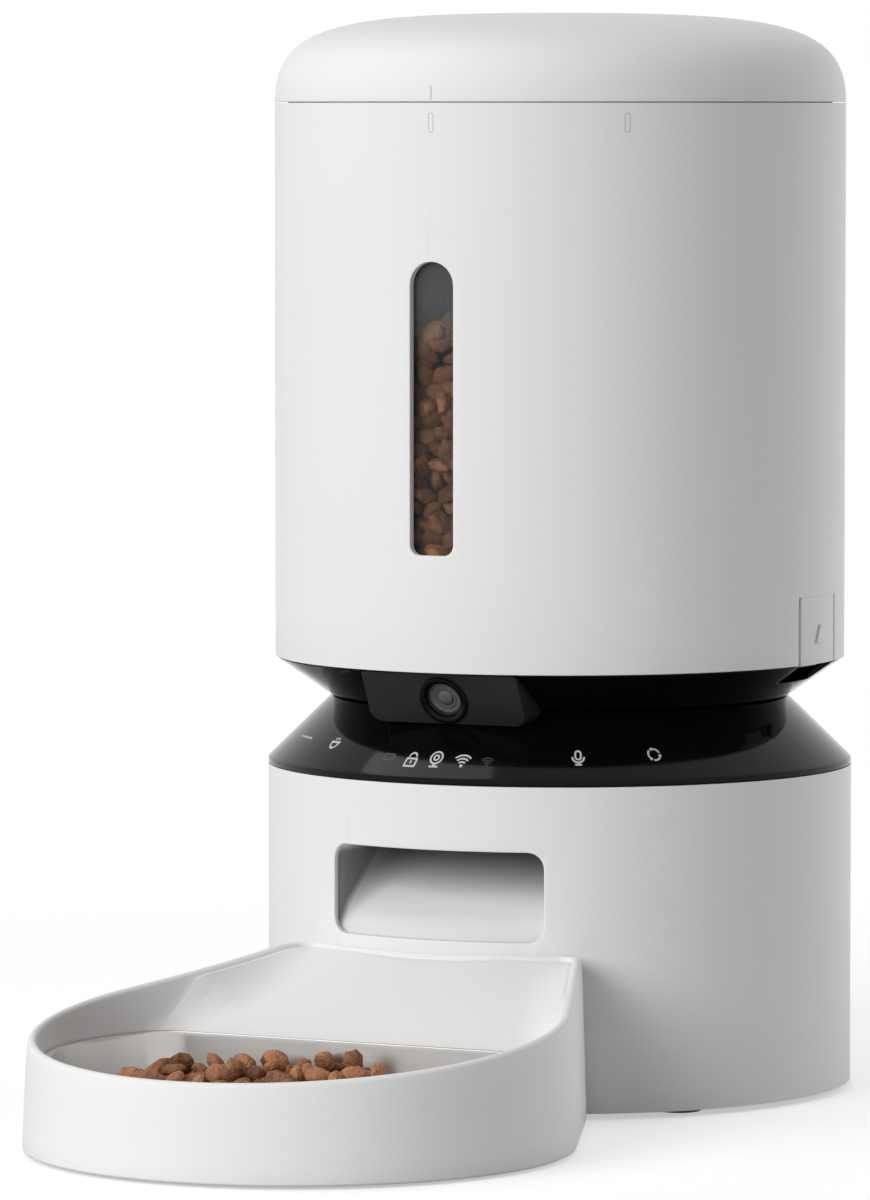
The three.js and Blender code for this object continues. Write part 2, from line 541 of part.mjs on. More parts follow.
function gearFrameUpper() {
  const plate = framePlate(upperPlate, [[0, shaft.radius + shaft.bush + fit.gap], [centres, axle.radius + fit.gap]]);
  const inset = gearFrame.pillarInset;
  const pillars = [-1, 1].flatMap((side) => [inset - gearFrame.frontY, gearFrame.backY - inset].map((y) =>
    [side * (gearFrame.halfWidth - gearFrame.corner / 2), y]));
  const low = lowerPlate + gearFrame.plate + fit.gap;
  return join(plate, ...pillars.map(([x, y]) => post(x, y, gearFrame.corner / 2, low, upperPlate + fit.weld, facets.pin)));
}

const shaftBush = () =>
  tube(shaft.radius + shaft.bush, shaft.radius + fit.gap, upperPlate, upperPlate + shaft.bushHeight, facets.small);

function gearMotor() {
  const top = lowerPlate - fit.gap;
  const body = disc(motor.radius, top - motor.length, top, facets.part);
  const boss = disc(motor.boss, top - fit.weld, top + motor.bossHeight, facets.small);
  const bore = disc(motor.shaft + fit.gap, lowerPlate - motor.bossHeight * 2 - fit.slide, lowerPlate + fit.overrun, facets.pin);
  return cut(join(body, boss), bore).translate(0, 2 * centres, 0);
}

// Tank: shell with the window, its pane, the funnel with the outlet plate, the two release latches
const latchTop = tankBottom + latch.height;
const latchAzimuths = { right: 90, left: 270 };
const windowMiddle = tankBottom + windowSlot.bottom + windowSlot.height / 2;

function tankShell() {
  const wall = tube(tank.radius, tankInside, tankBottom, tankTop);
  const shape = roundedRectangle(0, windowMiddle, windowSlot.width, windowSlot.height, windowSlot.lowCorner,
    windowSlot.width * windowSlot.topShare);
  const viewing = frontwards(shape, tankInside - fit.overrun, tank.radius + fit.overrun);
  const clearAngle = latch.halfAngle + THREE.MathUtils.radToDeg(latch.sideGap / tank.radius);
  const latchGaps = Object.values(latchAzimuths).map((azimuth) => atAzimuth(
    sector(tankInside - fit.overrun, tank.radius + fit.overrun, -clearAngle, clearAngle, tankBottom - fit.overrun,
      latchTop + fit.gap, facets.pin / 2), azimuth));
  const ribs = [];
  for (let i = 0; i < bayonet.count; i++) {
    const middle = (360 / bayonet.count) * i;
    ribs.push(sector(linerRadius + fit.gap, tankInside + fit.weld, middle - bayonet.ribAngle / 2,
      middle + bayonet.ribAngle / 2, lugTop - bayonet.ribHeight, lugTop, 2));
  }
  return join(cut(wall, viewing, ...latchGaps), ...ribs);
}

function windowPane() {
  const outer = tankInside - fit.gap;
  const half = windowSlot.height / 2 + windowSlot.paneLap;
  const angle = THREE.MathUtils.radToDeg((windowSlot.width / 2 + windowSlot.paneLap) / tankInside);
  const ringWall = tube(outer, outer - windowSlot.paneWall, windowMiddle - half + windowSlot.paneLap / 2, windowMiddle + half);
  return common(ringWall, sector(outer / 2, tank.radius, -angle, angle, tankBottom, tankTop));
}

function tankFunnel() {
  const [throat, hole] = [throatRadius, throatInside];
  const outer = tankInside - fit.gap;
  const inner = outer - funnel.wall;
  return revolve([[throat, throatBottom], [throat, throatTop], [outer, funnelTop], [outer, funnelTop + funnel.rim],
    [inner, funnelTop + funnel.rim], [inner, funnelTop + funnel.wall / 2], [hole, throatTop + funnel.wall / 2],
    [hole, throatBottom]], facets.hidden);
}

function outletPlate() {
  const [low, high] = [throatBottom, throatBottom + outlet.plate];
  const plate = tube(throatInside - fit.gap, rotor.stub + fit.slide, low, high, facets.part);
  return cut(plate, sector(outlet.inner, outletOuter, -outlet.halfAngle, outlet.halfAngle, low - fit.overrun, high + fit.overrun));
}

function tankFloorPlate() {
  const low = tankBottom + tankFloor.lift;
  const plate = tube(tankInside - fit.gap, throatRadius + fit.gap, low, low + tankFloor.thickness);
  const reach = Math.sin(rad(latch.swing)) * latch.height + latch.noseInset + latch.noseDepth + fit.slide * 2;
  const clearAngle = latch.halfAngle + THREE.MathUtils.radToDeg(latch.floorGap / tank.radius);
  const notches = Object.values(latchAzimuths).map((azimuth) => atAzimuth(
    sector(tankInside - reach, tank.radius + fit.overrun, -clearAngle, clearAngle, low - fit.overrun,
      low + fit.overrun * 2, facets.pin / 2), azimuth));
  return cut(plate, ...notches);
}

// A release latch: a tongue of the shell's own wall with a nose that drops inside the cradle's rim
function tankLatch(azimuth) {
  const wall = tube(tank.radius, tankInside, tankBottom + fit.gap, latchTop);
  const tongue = common(wall, sector(tank.radius / 2, tank.radius + fit.overrun, -latch.halfAngle, latch.halfAngle,
    tankBottom, tankTop));
  const outer = tankInside - latch.noseInset;
  const half = latch.noseWidth / 2;
  const low = tankBottom - latch.noseDrop;
  const nose = block([-half, half], [-outer, -outer + latch.noseDepth], [low, low + latch.noseHeight]);
  const stem = block([-half, half], [-tankInside - fit.weld, -outer + latch.noseDepth],
    [tankBottom + fit.slide, low + latch.noseHeight]);
  return atAzimuth(join(tongue, nose, stem), azimuth);
}

function feedRotor() {
  const high = rotorBottom + rotor.height;
  const hub = disc(rotor.hub, rotorBottom, high + rotor.cap + shield.thickness, facets.small);
  const stub = disc(rotor.stub, rotorBottom - outlet.plate, rotorBottom + fit.weld, facets.small);
  const tip = throatInside - rotor.tipGap;
  const vanes = [];
  for (let i = 0; i < rotor.vanes; i++) {
    const vane = block([-rotor.vane / 2, rotor.vane / 2], [-tip, -rotor.hub / 2], [rotorBottom + fit.slide, high]);
    vanes.push(atAzimuth(vane, (360 / rotor.vanes) * (i + 0.5)));
  }
  const fingerLow = high + shield.thickness + 2 * fit.slide;
  const fingers = [];
  for (let i = 0; i < rotor.fingers; i++) {
    const finger = block([-rotor.vane, rotor.vane], [-rotor.fingerReach, 0], [fingerLow, fingerLow + rotor.fingerHeight]);
    fingers.push(atAzimuth(finger, (360 / rotor.fingers) * i));
  }
  const keyway = disc(shaft.hex + fit.gap, rotorBottom - fit.overrun, rotorBottom + shaft.hexHeight, facets.hex);
  return cut(join(hub, stub, ...vanes, ...fingers), keyway);
}

function rotorShield() {
  const low = rotorBottom + rotor.height + fit.slide;
  return sector(rotor.hub + shield.hubGap, throatInside - fit.gap, -shield.halfAngle, shield.halfAngle, low, low + shield.thickness);
}

// Lid: the domed cover, the liner that plugs the tank's mouth, its seal and the desiccant box
const linerTop = lidBottom + liner.dropIn + liner.plate;
const skirtBottom = lidBottom + liner.dropIn - liner.depth;
const lugTop = skirtBottom + liner.lugHeight;
const sealBottom = lugTop + liner.rimGap + fit.gap + seal.lip;

// The dome's outline from the rim up to the crown, as one smooth curve
function domeOutline(radius, low, height, steps) {
  const curve = new THREE.CubicBezierCurve(
    new THREE.Vector2(radius, low), new THREE.Vector2(radius, low + height * lid.shoulderShare),
    new THREE.Vector2(radius * lid.crownShare, low + height), new THREE.Vector2(0, low + height));
  return curve.getPoints(steps).map((p) => [p.x, p.y]);
}

function lidCover() {
  const outer = domeOutline(tank.radius, lidBottom, lid.height, lid.outerSteps);
  const inner = domeOutline(tankInside, lidBottom, lid.height - lid.wall, lid.innerSteps).reverse();
  return revolve([...outer, ...inner]);
}

function lidLiner() {
  const edge = tankInside - liner.rimGap;
  const plateLow = lidBottom + liner.dropIn;
  const body = revolve([[0, plateLow], [linerRadius - liner.skirt, plateLow], [linerRadius - liner.skirt, skirtBottom],
    [linerRadius, skirtBottom], [linerRadius, plateLow], [edge, plateLow], [edge - liner.bevel, linerTop], [0, linerTop]]);
  const period = 360 / bayonet.count;
  const width = period - bayonet.ribAngle - bayonet.turn - 2 * bayonet.clearAngle;
  const lugs = [];
  for (let i = 0; i < bayonet.count; i++) {
    const start = period * i + bayonet.ribAngle / 2 + bayonet.clearAngle;
    lugs.push(sector(linerRadius - fit.weld, tankInside - fit.slide, start, start + width, skirtBottom, lugTop, facets.pin / 2));
  }
  return join(body, ...lugs);
}

function lidSeal() {
  const [low, high, outer] = [sealBottom, sealBottom + seal.height, tankInside - fit.gap];
  const waist = outer - seal.lip;
  return revolve([[sealInside, low], [waist, low], [outer, low + seal.lip], [outer, high - seal.lip], [waist, high],
    [sealInside, high]]);
}

function desiccantBox() {
  const high = lidBottom + liner.dropIn - fit.gap;
  return tube(desiccant.radius, desiccant.radius - desiccant.wall, high - desiccant.height, high, facets.part);
}

function desiccantCover() {
  const high = lidBottom + liner.dropIn - desiccant.height - 2 * fit.gap;
  const low = high - desiccant.cover;
  const slots = [];
  for (let i = 0; i < desiccant.slots; i++) {
    const half = desiccant.slotWidth / 2;
    const slot = block([-half, half], [-desiccant.slotOuter, -desiccant.slotInner], [low - fit.overrun, high + fit.overrun]);
    slots.push(atAzimuth(slot, (360 / desiccant.slots) * i));
  }
  return cut(disc(desiccant.radius, low, high, facets.part), ...slots);
}

// Tray and bowl: a tapered tray hooked to the base, with a steel bowl let into it
const trayBottom = tray.lift;
const bowlRim = trayBottom + tray.frontHeight - bowl.rimDrop;
const ledge = bowlRim - bowl.wall - fit.gap;
const chordY = -trayY + bowl.chord;
const slopeFoot = chordY + bowl.lip;

// A circle whose sides run straight back to the base, drawn in by the flare angle
function trayShape(inset, count = facets.part) {
  const radius = tray.radius - inset;
  const flare = rad(tray.flare);
  const back = base.radius / 2;
  const [tx, ty] = [radius * Math.cos(flare), -trayY + radius * Math.sin(flare)];
  const backX = tx - (-back - ty) * Math.tan(flare);
  const front = arc(0, -trayY, radius, Math.PI - flare, 2 * Math.PI + flare, count);
  return new THREE.Shape([...front, new THREE.Vector2(backX, -back), new THREE.Vector2(-backX, -back)]);
}

// A circle cut by a straight chord at the back, with round corners
function bowlShape(inset, count = facets.part) {
  const radius = bowl.radius - inset;
  const corner = bowl.corner - inset / 2;
  const dy = bowl.chord - inset - corner;
  const dx = Math.sqrt((radius - corner) ** 2 - dy ** 2);
  const turn = Math.atan2(dy, dx);
  const y = -trayY;
  return new THREE.Shape([
    ...arc(0, y, radius, Math.PI - turn, 2 * Math.PI + turn, count),
    ...arc(dx, y + dy, corner, turn, Math.PI / 2, facets.corner),
    ...arc(-dx, y + dy, corner, Math.PI / 2, Math.PI - turn, facets.corner)]);
}

// The tray's walls draw in as they rise
function trayPrism(inset, low, high) {
  const slope = Math.tan(rad(tray.draft));
  const levels = [low, high].map((z) => [z, (z - trayBottom) * slope]);
  return stacked(trayShape(inset), -trayY, tray.radius, levels);
}

// The bowl is round at its foot, then opens towards the rim
function bowlPrism(inset, foot, high) {
  const slope = Math.tan(rad(bowl.draft));
  const edge = bowl.bottomEdge - inset / 2;
  const levels = [];
  for (let i = 0; i <= bowl.edgeSteps; i++) {
    const turn = ((i / bowl.edgeSteps) * Math.PI) / 2;
    const z = foot + edge * (1 - Math.cos(turn));
    levels.push([z, edge * (1 - Math.sin(turn)) + (bowlRim - z) * slope]);
  }
  levels.push([high, (bowlRim - high) * slope]);
  const middle = -trayY + (bowl.chord - bowl.radius) / 2;
  return stacked(bowlShape(inset), middle, (bowl.radius + bowl.chord) / 2, levels);
}

// Everything above the tray's rim, which dips in one curve from the back to the front
function aboveRim() {
  const [backY, frontY] = [-base.radius, -trayY - tray.radius];
  const [backZ, frontZ] = [trayBottom + tray.backHeight, trayBottom + tray.frontHeight];
  const [middleY, middleZ] = [backY - tray.dipReach, trayBottom + tray.dipHeight];
  const rim = new THREE.Shape();
  rim.moveTo(0, backZ);
  rim.lineTo(backY, backZ);
  rim.quadraticCurveTo(middleY, middleZ, frontY, frontZ);
  rim.lineTo(frontY - fit.overrun, frontZ);
  rim.lineTo(frontY - fit.overrun, 2 * backZ);
  rim.lineTo(0, 2 * backZ);
  return across(rim, -base.radius, base.radius);
}

function bowlTray() {
  const rise = Math.tan(rad(slide.slope));
  const high = trayBottom + tray.backHeight;
  const far = -trayY - base.radius;
  const body = cut(trayPrism(0, trayBottom, high + fit.overrun), aboveRim(),
    disc(base.radius + fit.gap, 0, 2 * high));
  const upper = common(trayPrism(tray.wall, trayBottom, 2 * high),
    across([[far, ledge], [slopeFoot, ledge], [0, ledge - slopeFoot * rise], [0, 3 * high], [far, 3 * high]], -base.radius, base.radius));
  const cavity = cut(upper, disc(base.radius + fit.gap + tray.backWall, 0, 4 * high));
  const pocket = bowlPrism(-fit.slide, trayBottom + tray.floor, bowlRim);
  const thick = tray.wall / Math.cos(rad(slide.slope));
  const hollowFront = slopeFoot + tray.wall;
  const under = across([[hollowFront, -fit.overrun], [0, -fit.overrun], [0, ledge - slopeFoot * rise - thick],
    [hollowFront, ledge + (hollowFront - slopeFoot) * rise - thick]], -base.radius, base.radius);
  const hollow = cut(common(trayPrism(tray.wall, -fit.overrun, 2 * high), under),
    disc(base.radius + fit.gap + tray.backWall, -fit.overrun * 2, 4 * high));
  const pads = [-1, 1].map((side) =>
    post(side * pad.x, -trayY - pad.ahead, pad.radius + fit.gap, -fit.overrun, trayBottom + pad.recess, facets.small));
  const hooks = [-1, 1].map((side) => {
    const x = side * tray.hookX;
    const half = tray.hookWidth / 2;
    const inside = -base.radius + tray.hookLength;
    return block([x - half, x + half], [-base.radius - tray.backWall, inside], [tray.hookZ, tray.hookZ + tray.hookHeight]);
  });
  return join(cut(body, cavity, pocket, hollow, ...pads), ...hooks);
}

function steelBowl() {
  const foot = trayBottom + tray.floor + fit.gap;
  const skin = bowlPrism(0, foot, bowlRim);
  const inside = bowlPrism(bowl.wall, foot + bowl.wall, bowlRim + fit.overrun);
  const lip = prism(bowlShape(bowl.wall - bowl.lip), bowlRim - bowl.wall, bowlRim);
  return cut(join(skin, lip), inside);
}

const trayPad = (side) => post(side * pad.x, -trayY - pad.ahead, pad.radius, 0, trayBottom + pad.recess - fit.gap, facets.small);

// Materials, from the finishes in the photograph
const finish = (color, roughness, metalness = 0, more = {}) =>
  new THREE.MeshStandardMaterial({ color, roughness, metalness, ...more });
const materials = {
  whitePlastic: finish(0xf0f0ef, 0.42),
  innerPlastic: finish(0xe4e4e1, 0.5),
  glossBlack: finish(0x0b0b0c, 0.08),
  satinBlack: finish(0x2c2c2e, 0.35),
  smokedPane: finish(0x3a3d40, 0.1, 0, { transparent: true, opacity: 0.45 }),
  lensGlass: finish(0x11151c, 0.03),
  silicone: finish(0x9fa3a6, 0.7),
  rubber: finish(0x6e7072, 0.85),
  steel: finish(0xc9c7c3, 0.28, 1),
  brightMetal: finish(0xb8babd, 0.3, 1),
  gearPlastic: finish(0xe9e2cf, 0.45),
  circuitGreen: finish(0x1f5a3c, 0.5),
};

const feeder = new THREE.Group();

function assembly(parent = feeder) {
  const group = new THREE.Group();
  parent.add(group);
  return (name, geometry, material) => {
    const mesh = new THREE.Mesh(geometry, material);
    mesh.name = name;
    group.add(mesh);
  };
}

const { whitePlastic, innerPlastic, glossBlack, satinBlack, smokedPane, lensGlass, silicone, rubber, steel,
  brightMetal, gearPlastic, circuitGreen } = materials;

const inBase = assembly();
inBase('base_shell', baseShell(), whitePlastic);
inBase('base_floor', baseFloor(), innerPlastic);
footAzimuths.forEach((a, i) => inBase(`foot_${i + 1}`, rubberFoot(a), rubber));
screwAzimuths.forEach((a, i) => inBase(`base_screw_${i + 1}`, baseScrew(a), brightMetal));
inBase('battery_box', batteryBox(), satinBlack);
inBase('battery_contact_front', batteryContact(-1), brightMetal);
inBase('battery_contact_rear', batteryContact(1), brightMetal);
inBase('battery_cover', batteryCover(), innerPlastic);
inBase('speaker', speakerUnit(), satinBlack);
inBase('main_board', mainBoard(), circuitGreen);
inBase('power_socket', powerSocket(), satinBlack);
inBase('food_chute', foodChute(), innerPlastic);

const inWaist = assembly();
inWaist('control_ring', controlRing(), glossBlack);
inWaist('tank_cradle', tankCradle(), glossBlack);
inWaist('indicator_board', indicatorBoard(), circuitGreen);
inWaist('camera_housing', cameraHousing(), satinBlack);
inWaist('camera_bezel', cameraBezel(), glossBlack);
inWaist('camera_barrel', cameraBarrel(), satinBlack);
inWaist('camera_glass', cameraGlass(), lensGlass);
inWaist('camera_board', cameraBoard(), circuitGreen);

const inDrive = assembly();
inDrive('gear_motor', gearMotor(), brightMetal);
inDrive('motor_pinion', motorPinion(), gearPlastic);
inDrive('double_gear', doubleGear(), gearPlastic);
inDrive('double_gear_axle', doubleGearAxle(), brightMetal);
inDrive('drive_gear', driveGear(), gearPlastic);
inDrive('shaft_bush', shaftBush(), brightMetal);
inDrive('gear_frame_lower', gearFrameLower(), innerPlastic);
inDrive('gear_frame_upper', gearFrameUpper(), innerPlastic);

const inTank = assembly();
inTank('tank_shell', tankShell(), whitePlastic);
inTank('window_pane', windowPane(), smokedPane);
inTank('tank_funnel', tankFunnel(), innerPlastic);
inTank('tank_floor', tankFloorPlate(), innerPlastic);
inTank('outlet_plate', outletPlate(), innerPlastic);
inTank('feed_rotor', feedRotor(), silicone);
inTank('rotor_shield', rotorShield(), innerPlastic);
inTank('latch_right', tankLatch(latchAzimuths.right), whitePlastic);
inTank('latch_left', tankLatch(latchAzimuths.left), whitePlastic);

const inLid = assembly();
inLid('lid_cover', lidCover(), whitePlastic);
inLid('lid_liner', lidLiner(), innerPlastic);
inLid('lid_seal', lidSeal(), silicone);
inLid('desiccant_box', desiccantBox(), innerPlastic);
inLid('desiccant_cover', desiccantCover(), innerPlastic);

const inTray = assembly();
inTray('bowl_tray', bowlTray(), whitePlastic);
inTray('steel_bowl', steelBowl(), steel);
inTray('tray_pad_right', trayPad(1), rubber);
inTray('tray_pad_left', trayPad(-1), rubber);

// The origin is under the middle of the whole footprint, so the housing's axis stands behind it
feeder.position.y = (trayY + tray.radius - base.radius) / 2;

export default feeder;
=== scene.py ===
import bpy
import bmesh
import math
import random
from mathutils import Matrix, Vector
from mathutils.geometry import interpolate_bezier


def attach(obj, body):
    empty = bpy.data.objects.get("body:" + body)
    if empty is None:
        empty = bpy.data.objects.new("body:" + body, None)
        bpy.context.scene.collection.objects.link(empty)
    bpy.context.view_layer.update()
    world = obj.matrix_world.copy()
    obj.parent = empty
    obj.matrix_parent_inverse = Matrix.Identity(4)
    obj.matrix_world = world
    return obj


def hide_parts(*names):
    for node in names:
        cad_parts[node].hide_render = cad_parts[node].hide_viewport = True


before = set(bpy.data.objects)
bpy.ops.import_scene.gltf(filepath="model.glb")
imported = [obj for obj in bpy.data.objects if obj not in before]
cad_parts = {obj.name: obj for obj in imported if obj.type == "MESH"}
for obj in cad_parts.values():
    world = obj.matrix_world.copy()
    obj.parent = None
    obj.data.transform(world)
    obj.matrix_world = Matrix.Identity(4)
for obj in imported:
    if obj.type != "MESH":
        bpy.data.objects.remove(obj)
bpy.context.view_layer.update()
scene = bpy.context.scene
mm = 0.001
housingY = 0.0898  # the housing's axis stands this far behind the row's origin

# Camera: long lens from the right front, a little above the tank's middle
view = {"place": (1.1103, -2.1867, 0.3350), "aim": (-0.4525, 0.8893, -0.0666), "lens": 221.93, "sensor": 36}
cameraData = bpy.data.cameras.new("photoCamera")
cameraData.lens, cameraData.sensor_width, cameraData.sensor_fit = view["lens"], view["sensor"], "AUTO"
cameraData.clip_start, cameraData.clip_end = 0.1, 20
photoCamera = bpy.data.objects.new("photoCamera", cameraData)
photoCamera.location = view["place"]
photoCamera.rotation_euler = Vector(view["aim"]).to_track_quat("-Z", "Y").to_euler()
scene.collection.objects.link(photoCamera)
scene.camera = photoCamera
scene.view_settings.view_transform = "Standard"
print("camera ready")


# ---- materials ----

# Each value is another node's output or a plain one
def feed(tree, node, values):
    for name, value in values.items():
        if isinstance(value, bpy.types.NodeSocket):
            tree.links.new(value, node.inputs[name])
        else:
            node.inputs[name].default_value = value


def addNode(tree, kind, values=None, **settings):
    node = tree.nodes.new("ShaderNode" + kind)
    for name, value in settings.items():
        setattr(node, name, value)
    feed(tree, node, values or {})
    return node


def objectPlace(tree):
    return addNode(tree, "TexCoord").outputs["Object"]


def compute(tree, operation, *values, clamp=False):
    return addNode(tree, "Math", dict(enumerate(values)), operation=operation, use_clamp=clamp).outputs[0]


def noise(tree, spot, scale, detail, roughness=0.5):
    return addNode(tree, "TexNoise", {"Vector": spot, "Scale": scale, "Detail": detail,
                                      "Roughness": roughness}).outputs["Fac"]


def ramp(tree, value, start, end, low, high, **settings):
    ends = {"Value": value, "From Min": start, "From Max": end, "To Min": low, "To Max": high}
    return addNode(tree, "MapRange", ends, **settings).outputs["Result"]


# Noise keeps mostly to the middle of its range, so only that is spread out
def spread(tree, value, low, high):
    return ramp(tree, value, 0.3, 0.7, low, high)


# Tones are a grey or a colour
def shade(tree, share, *tones):
    low, high = ((*tone, 1) if isinstance(tone, tuple) else (tone, tone, tone, 1) for tone in tones)
    return addNode(tree, "Mix", {0: share, 6: low, 7: high}, data_type="RGBA").outputs[2]


def bump(tree, height, strength, distance):
    return addNode(tree, "Bump", {"Height": height, "Strength": strength, "Distance": distance}).outputs["Normal"]


# Both grains give a fine and a broad noise
def startGrain(name, inputs):
    group = bpy.data.node_groups.new(name, "ShaderNodeTree")
    for socket, kind in inputs.items():
        group.interface.new_socket(socket, in_out="INPUT", socket_type="NodeSocket" + kind)
    for socket in ("fine", "broad"):
        group.interface.new_socket(socket, in_out="OUTPUT", socket_type="NodeSocketFloat")
    return group, group.nodes.new("NodeGroupInput").outputs, group.nodes.new("NodeGroupOutput"), objectPlace(group)


# Moulded skin: a fine pebble for the bump, and broad soft patches for colour and gloss
def makeMouldGrain():
    group, given, leave, spot = startGrain("mouldGrain", {"fineScale": "Float", "broadScale": "Float"})
    feed(group, leave, {"fine": noise(group, spot, given["fineScale"], 3.0, 0.55),
                        "broad": noise(group, spot, given["broadScale"], 2.0)})
    return group


# Brushed metal: streaks drawn out along one axis, and a broad haze
def makeBrushGrain():
    group, given, leave, spot = startGrain("brushGrain", {"fineScale": "Float", "stretch": "Vector"})
    pulled = addNode(group, "VectorMath", {0: spot, 1: given["stretch"]}, operation="MULTIPLY").outputs["Vector"]
    feed(group, leave, {"fine": noise(group, pulled, given["fineScale"], 4.0, 0.6),
                        "broad": noise(group, spot, 26.0, 2.0)})
    return group


mouldGrain = makeMouldGrain()
brushGrain = makeBrushGrain()


def startMaterial(name):
    material = bpy.data.materials.new(name)
    material.use_nodes = True
    return material, material.node_tree


def dress(tree, sockets):
    feed(tree, tree.nodes["Principled BSDF"], sockets)


# Two tones mixed by the broad noise or by the look's own share, a gloss that wavers a little, and a fine grain
def makeMaterial(name, look):
    material, tree = startMaterial(name)
    brushed, share = "stretch" in look, look.get("share")
    grain = addNode(tree, "Group", node_tree=brushGrain if brushed else mouldGrain)
    other = {"stretch": look["stretch"]} if brushed else {"broadScale": look["broad"]}
    feed(tree, grain, {"fineScale": look["fine"], **other})
    fine, broad = grain.outputs["fine"], grain.outputs["broad"]
    mixed = share(tree, broad, look) if share else broad
    waver = fine if brushed or share else broad
    sockets = {"Base Color": shade(tree, mixed, look["low"], look["high"]), "Metallic": float(brushed),
               "Roughness": spread(tree, waver, *look["gloss"]), "Specular IOR Level": look["specular"],
               **look.get("sockets", {})}
    if look["bump"]:
        sockets["Normal"] = bump(tree, fine, look["bump"], look["depth"])
    dress(tree, sockets)
    return material


# Broad patches added to a share; for the pane, food and chute that share carries painted light or painted shade
def clouded(tree, broad, look, share):
    return compute(tree, "MULTIPLY_ADD", broad, look["cloud"], share, clamp=True)


def axesOf(tree):
    return addNode(tree, "SeparateXYZ", {0: objectPlace(tree)}).outputs


# The tinted window is a dark clear sheet, painted paler above the food as painted light from the tank's inside
def panePaintedGlow(tree, broad, look):
    return clouded(tree, broad, look, ramp(tree, axesOf(tree)["Z"], *look["level"], *look["dusty"]))


# The front glass is near black, a little paler towards its middle
def glassShare(tree, broad, look):
    return addNode(tree, "LayerWeight", {"Blend": look["blend"]}).outputs["Facing"]


# The dry food has browns that change from lump to lump; its tone also carries painted light and painted shade
def foodShare(tree, broad, look):
    return clouded(tree, broad, look, addNode(tree, "Attribute", attribute_name="tone").outputs["Fac"])


# The chute's moulding is pale on its slide; darker on its side walls and away from the mouth is painted shade
def ductPaintedShade(tree, broad, look):
    spot = axesOf(tree)
    inward = ramp(tree, spot["Y"], *look["reach"], 0.0, look["inward"])
    aside = ramp(tree, compute(tree, "ABSOLUTE", spot["X"]), *look["sides"], 0.0, look["aside"])
    return clouded(tree, broad, look, compute(tree, "MAXIMUM", inward, aside))


columns = ("low", "high", "gloss", "fine", "broad", "bump", "depth", "specular", "slot")
rows = {
    "whitePlastic": (0.79, 0.82, (0.46, 0.54), 900, 14, 0.12, 0.0002, 0.2, "white_plastic"),
    "innerPlastic": (0.66, 0.70, (0.46, 0.56), 700, 18, 0.15, 0.0002, 0.5, "inner_plastic"),
    "glossBlack": ((0.0015, 0.0015, 0.0017), (0.003, 0.003, 0.0034), (0.06, 0.1), 260, 30, 0.03, 0.0002, 0.13,
                   "gloss_black"),
    "satinBlack": ((0.012, 0.012, 0.0125), (0.018, 0.018, 0.0185), (0.3, 0.38), 1100, 40, 0.12, 0.0002, 0.3,
                   "satin_black"),
    "silicone": ((0.42, 0.43, 0.44), (0.47, 0.48, 0.49), (0.55, 0.68), 800, 30, 0.2, 0.0002, 0.5, "soft_silicone"),
    "footRubber": ((0.52, 0.52, 0.53), (0.58, 0.58, 0.59), (0.7, 0.85), 1300, 60, 0.3, 0.0003, 0.5, "foot_rubber"),
    "gearPlastic": ((0.72, 0.67, 0.55), (0.78, 0.73, 0.61), (0.38, 0.5), 900, 40, 0.1, 0.0002, 0.5, "gear_plastic"),
    "circuitGreen": ((0.01, 0.07, 0.035), (0.02, 0.11, 0.055), (0.3, 0.45), 420, 160, 0.25, 0.0003, 0.5,
                     "circuit_board"),
    "iconGrey": ((0.50, 0.50, 0.51), (0.56, 0.56, 0.57), (0.35, 0.45), 900, 80, 0.05, 0.0001, 0.5, "gloss_black"),
    "iconDim": ((0.018, 0.018, 0.019), (0.026, 0.026, 0.027), (0.3, 0.4), 900, 80, 0.05, 0.0001, 0.5, "gloss_black"),
    "markGrey": ((0.50, 0.50, 0.505), (0.56, 0.56, 0.565), (0.4, 0.5), 900, 80, 0.05, 0.0001, 0.5, "white_plastic"),
    "steel": ((0.48, 0.462, 0.445), (0.57, 0.55, 0.53), (0.27, 0.36), 900, None, 0.03, 0.0001, 0.5, "stainless_steel"),
    "brightMetal": ((0.58, 0.59, 0.60), (0.66, 0.67, 0.68), (0.25, 0.4), 700, None, 0.06, 0.0001, 0.5, "bright_metal"),
    # The smoked pane's pale second tone is the painted light shown above the food
    "smokedPane": ((0.02, 0.018, 0.017), (0.2, 0.212, 0.225), (0.04, 0.1), 500, 22, 0, 0, 0.4, "smoked_pane"),
    "lensGlass": ((0.105, 0.105, 0.115), (0.03, 0.03, 0.034), (0.03, 0.07), 300, 260, 0, 0, 0.4, "lens_glass"),
    "kibble": ((0.05, 0.015, 0.006), (0.64, 0.3, 0.145), (0.55, 0.8), 420, 300, 1.0, 0.0022, 0.35, None),
    # The chute moulding's dark second tone, 0.2, is painted shade for the depth of the duct
    "ductPlasticPaintedShade": (0.78, 0.2, (0.5, 0.6), 700, 18, 0.1, 0.0002, 0.3, None),
}
extras = {
    "steel": {"stretch": (0.12, 1, 1)},
    "brightMetal": {"stretch": (1, 1, 0.15)},
    # Above the food level the pane's colour turns paler: painted light from the lit inside of the tank
    "smokedPane": {"share": panePaintedGlow, "level": (0.252, 0.27), "dusty": (0.02, 0.85), "cloud": 0.12,
                   "sockets": {"Alpha": 0.24, "IOR": 1.49}},
    "lensGlass": {"share": glassShare, "blend": 0.35, "sockets": {"IOR": 1.5}},
    "kibble": {"share": foodShare, "cloud": 0.6},
    # The chute's painted shade: how far back and how far to the sides it darkens, and by how much
    "ductPlasticPaintedShade": {"share": ductPaintedShade, "reach": (0.008, 0.044), "inward": 0.92, "sides": (0.0372, 0.0389),
                    "aside": 0.85, "cloud": 0.06},
}
looks = {name: {**dict(zip(columns, row)), **extras.get(name, {})} for name, row in rows.items()}
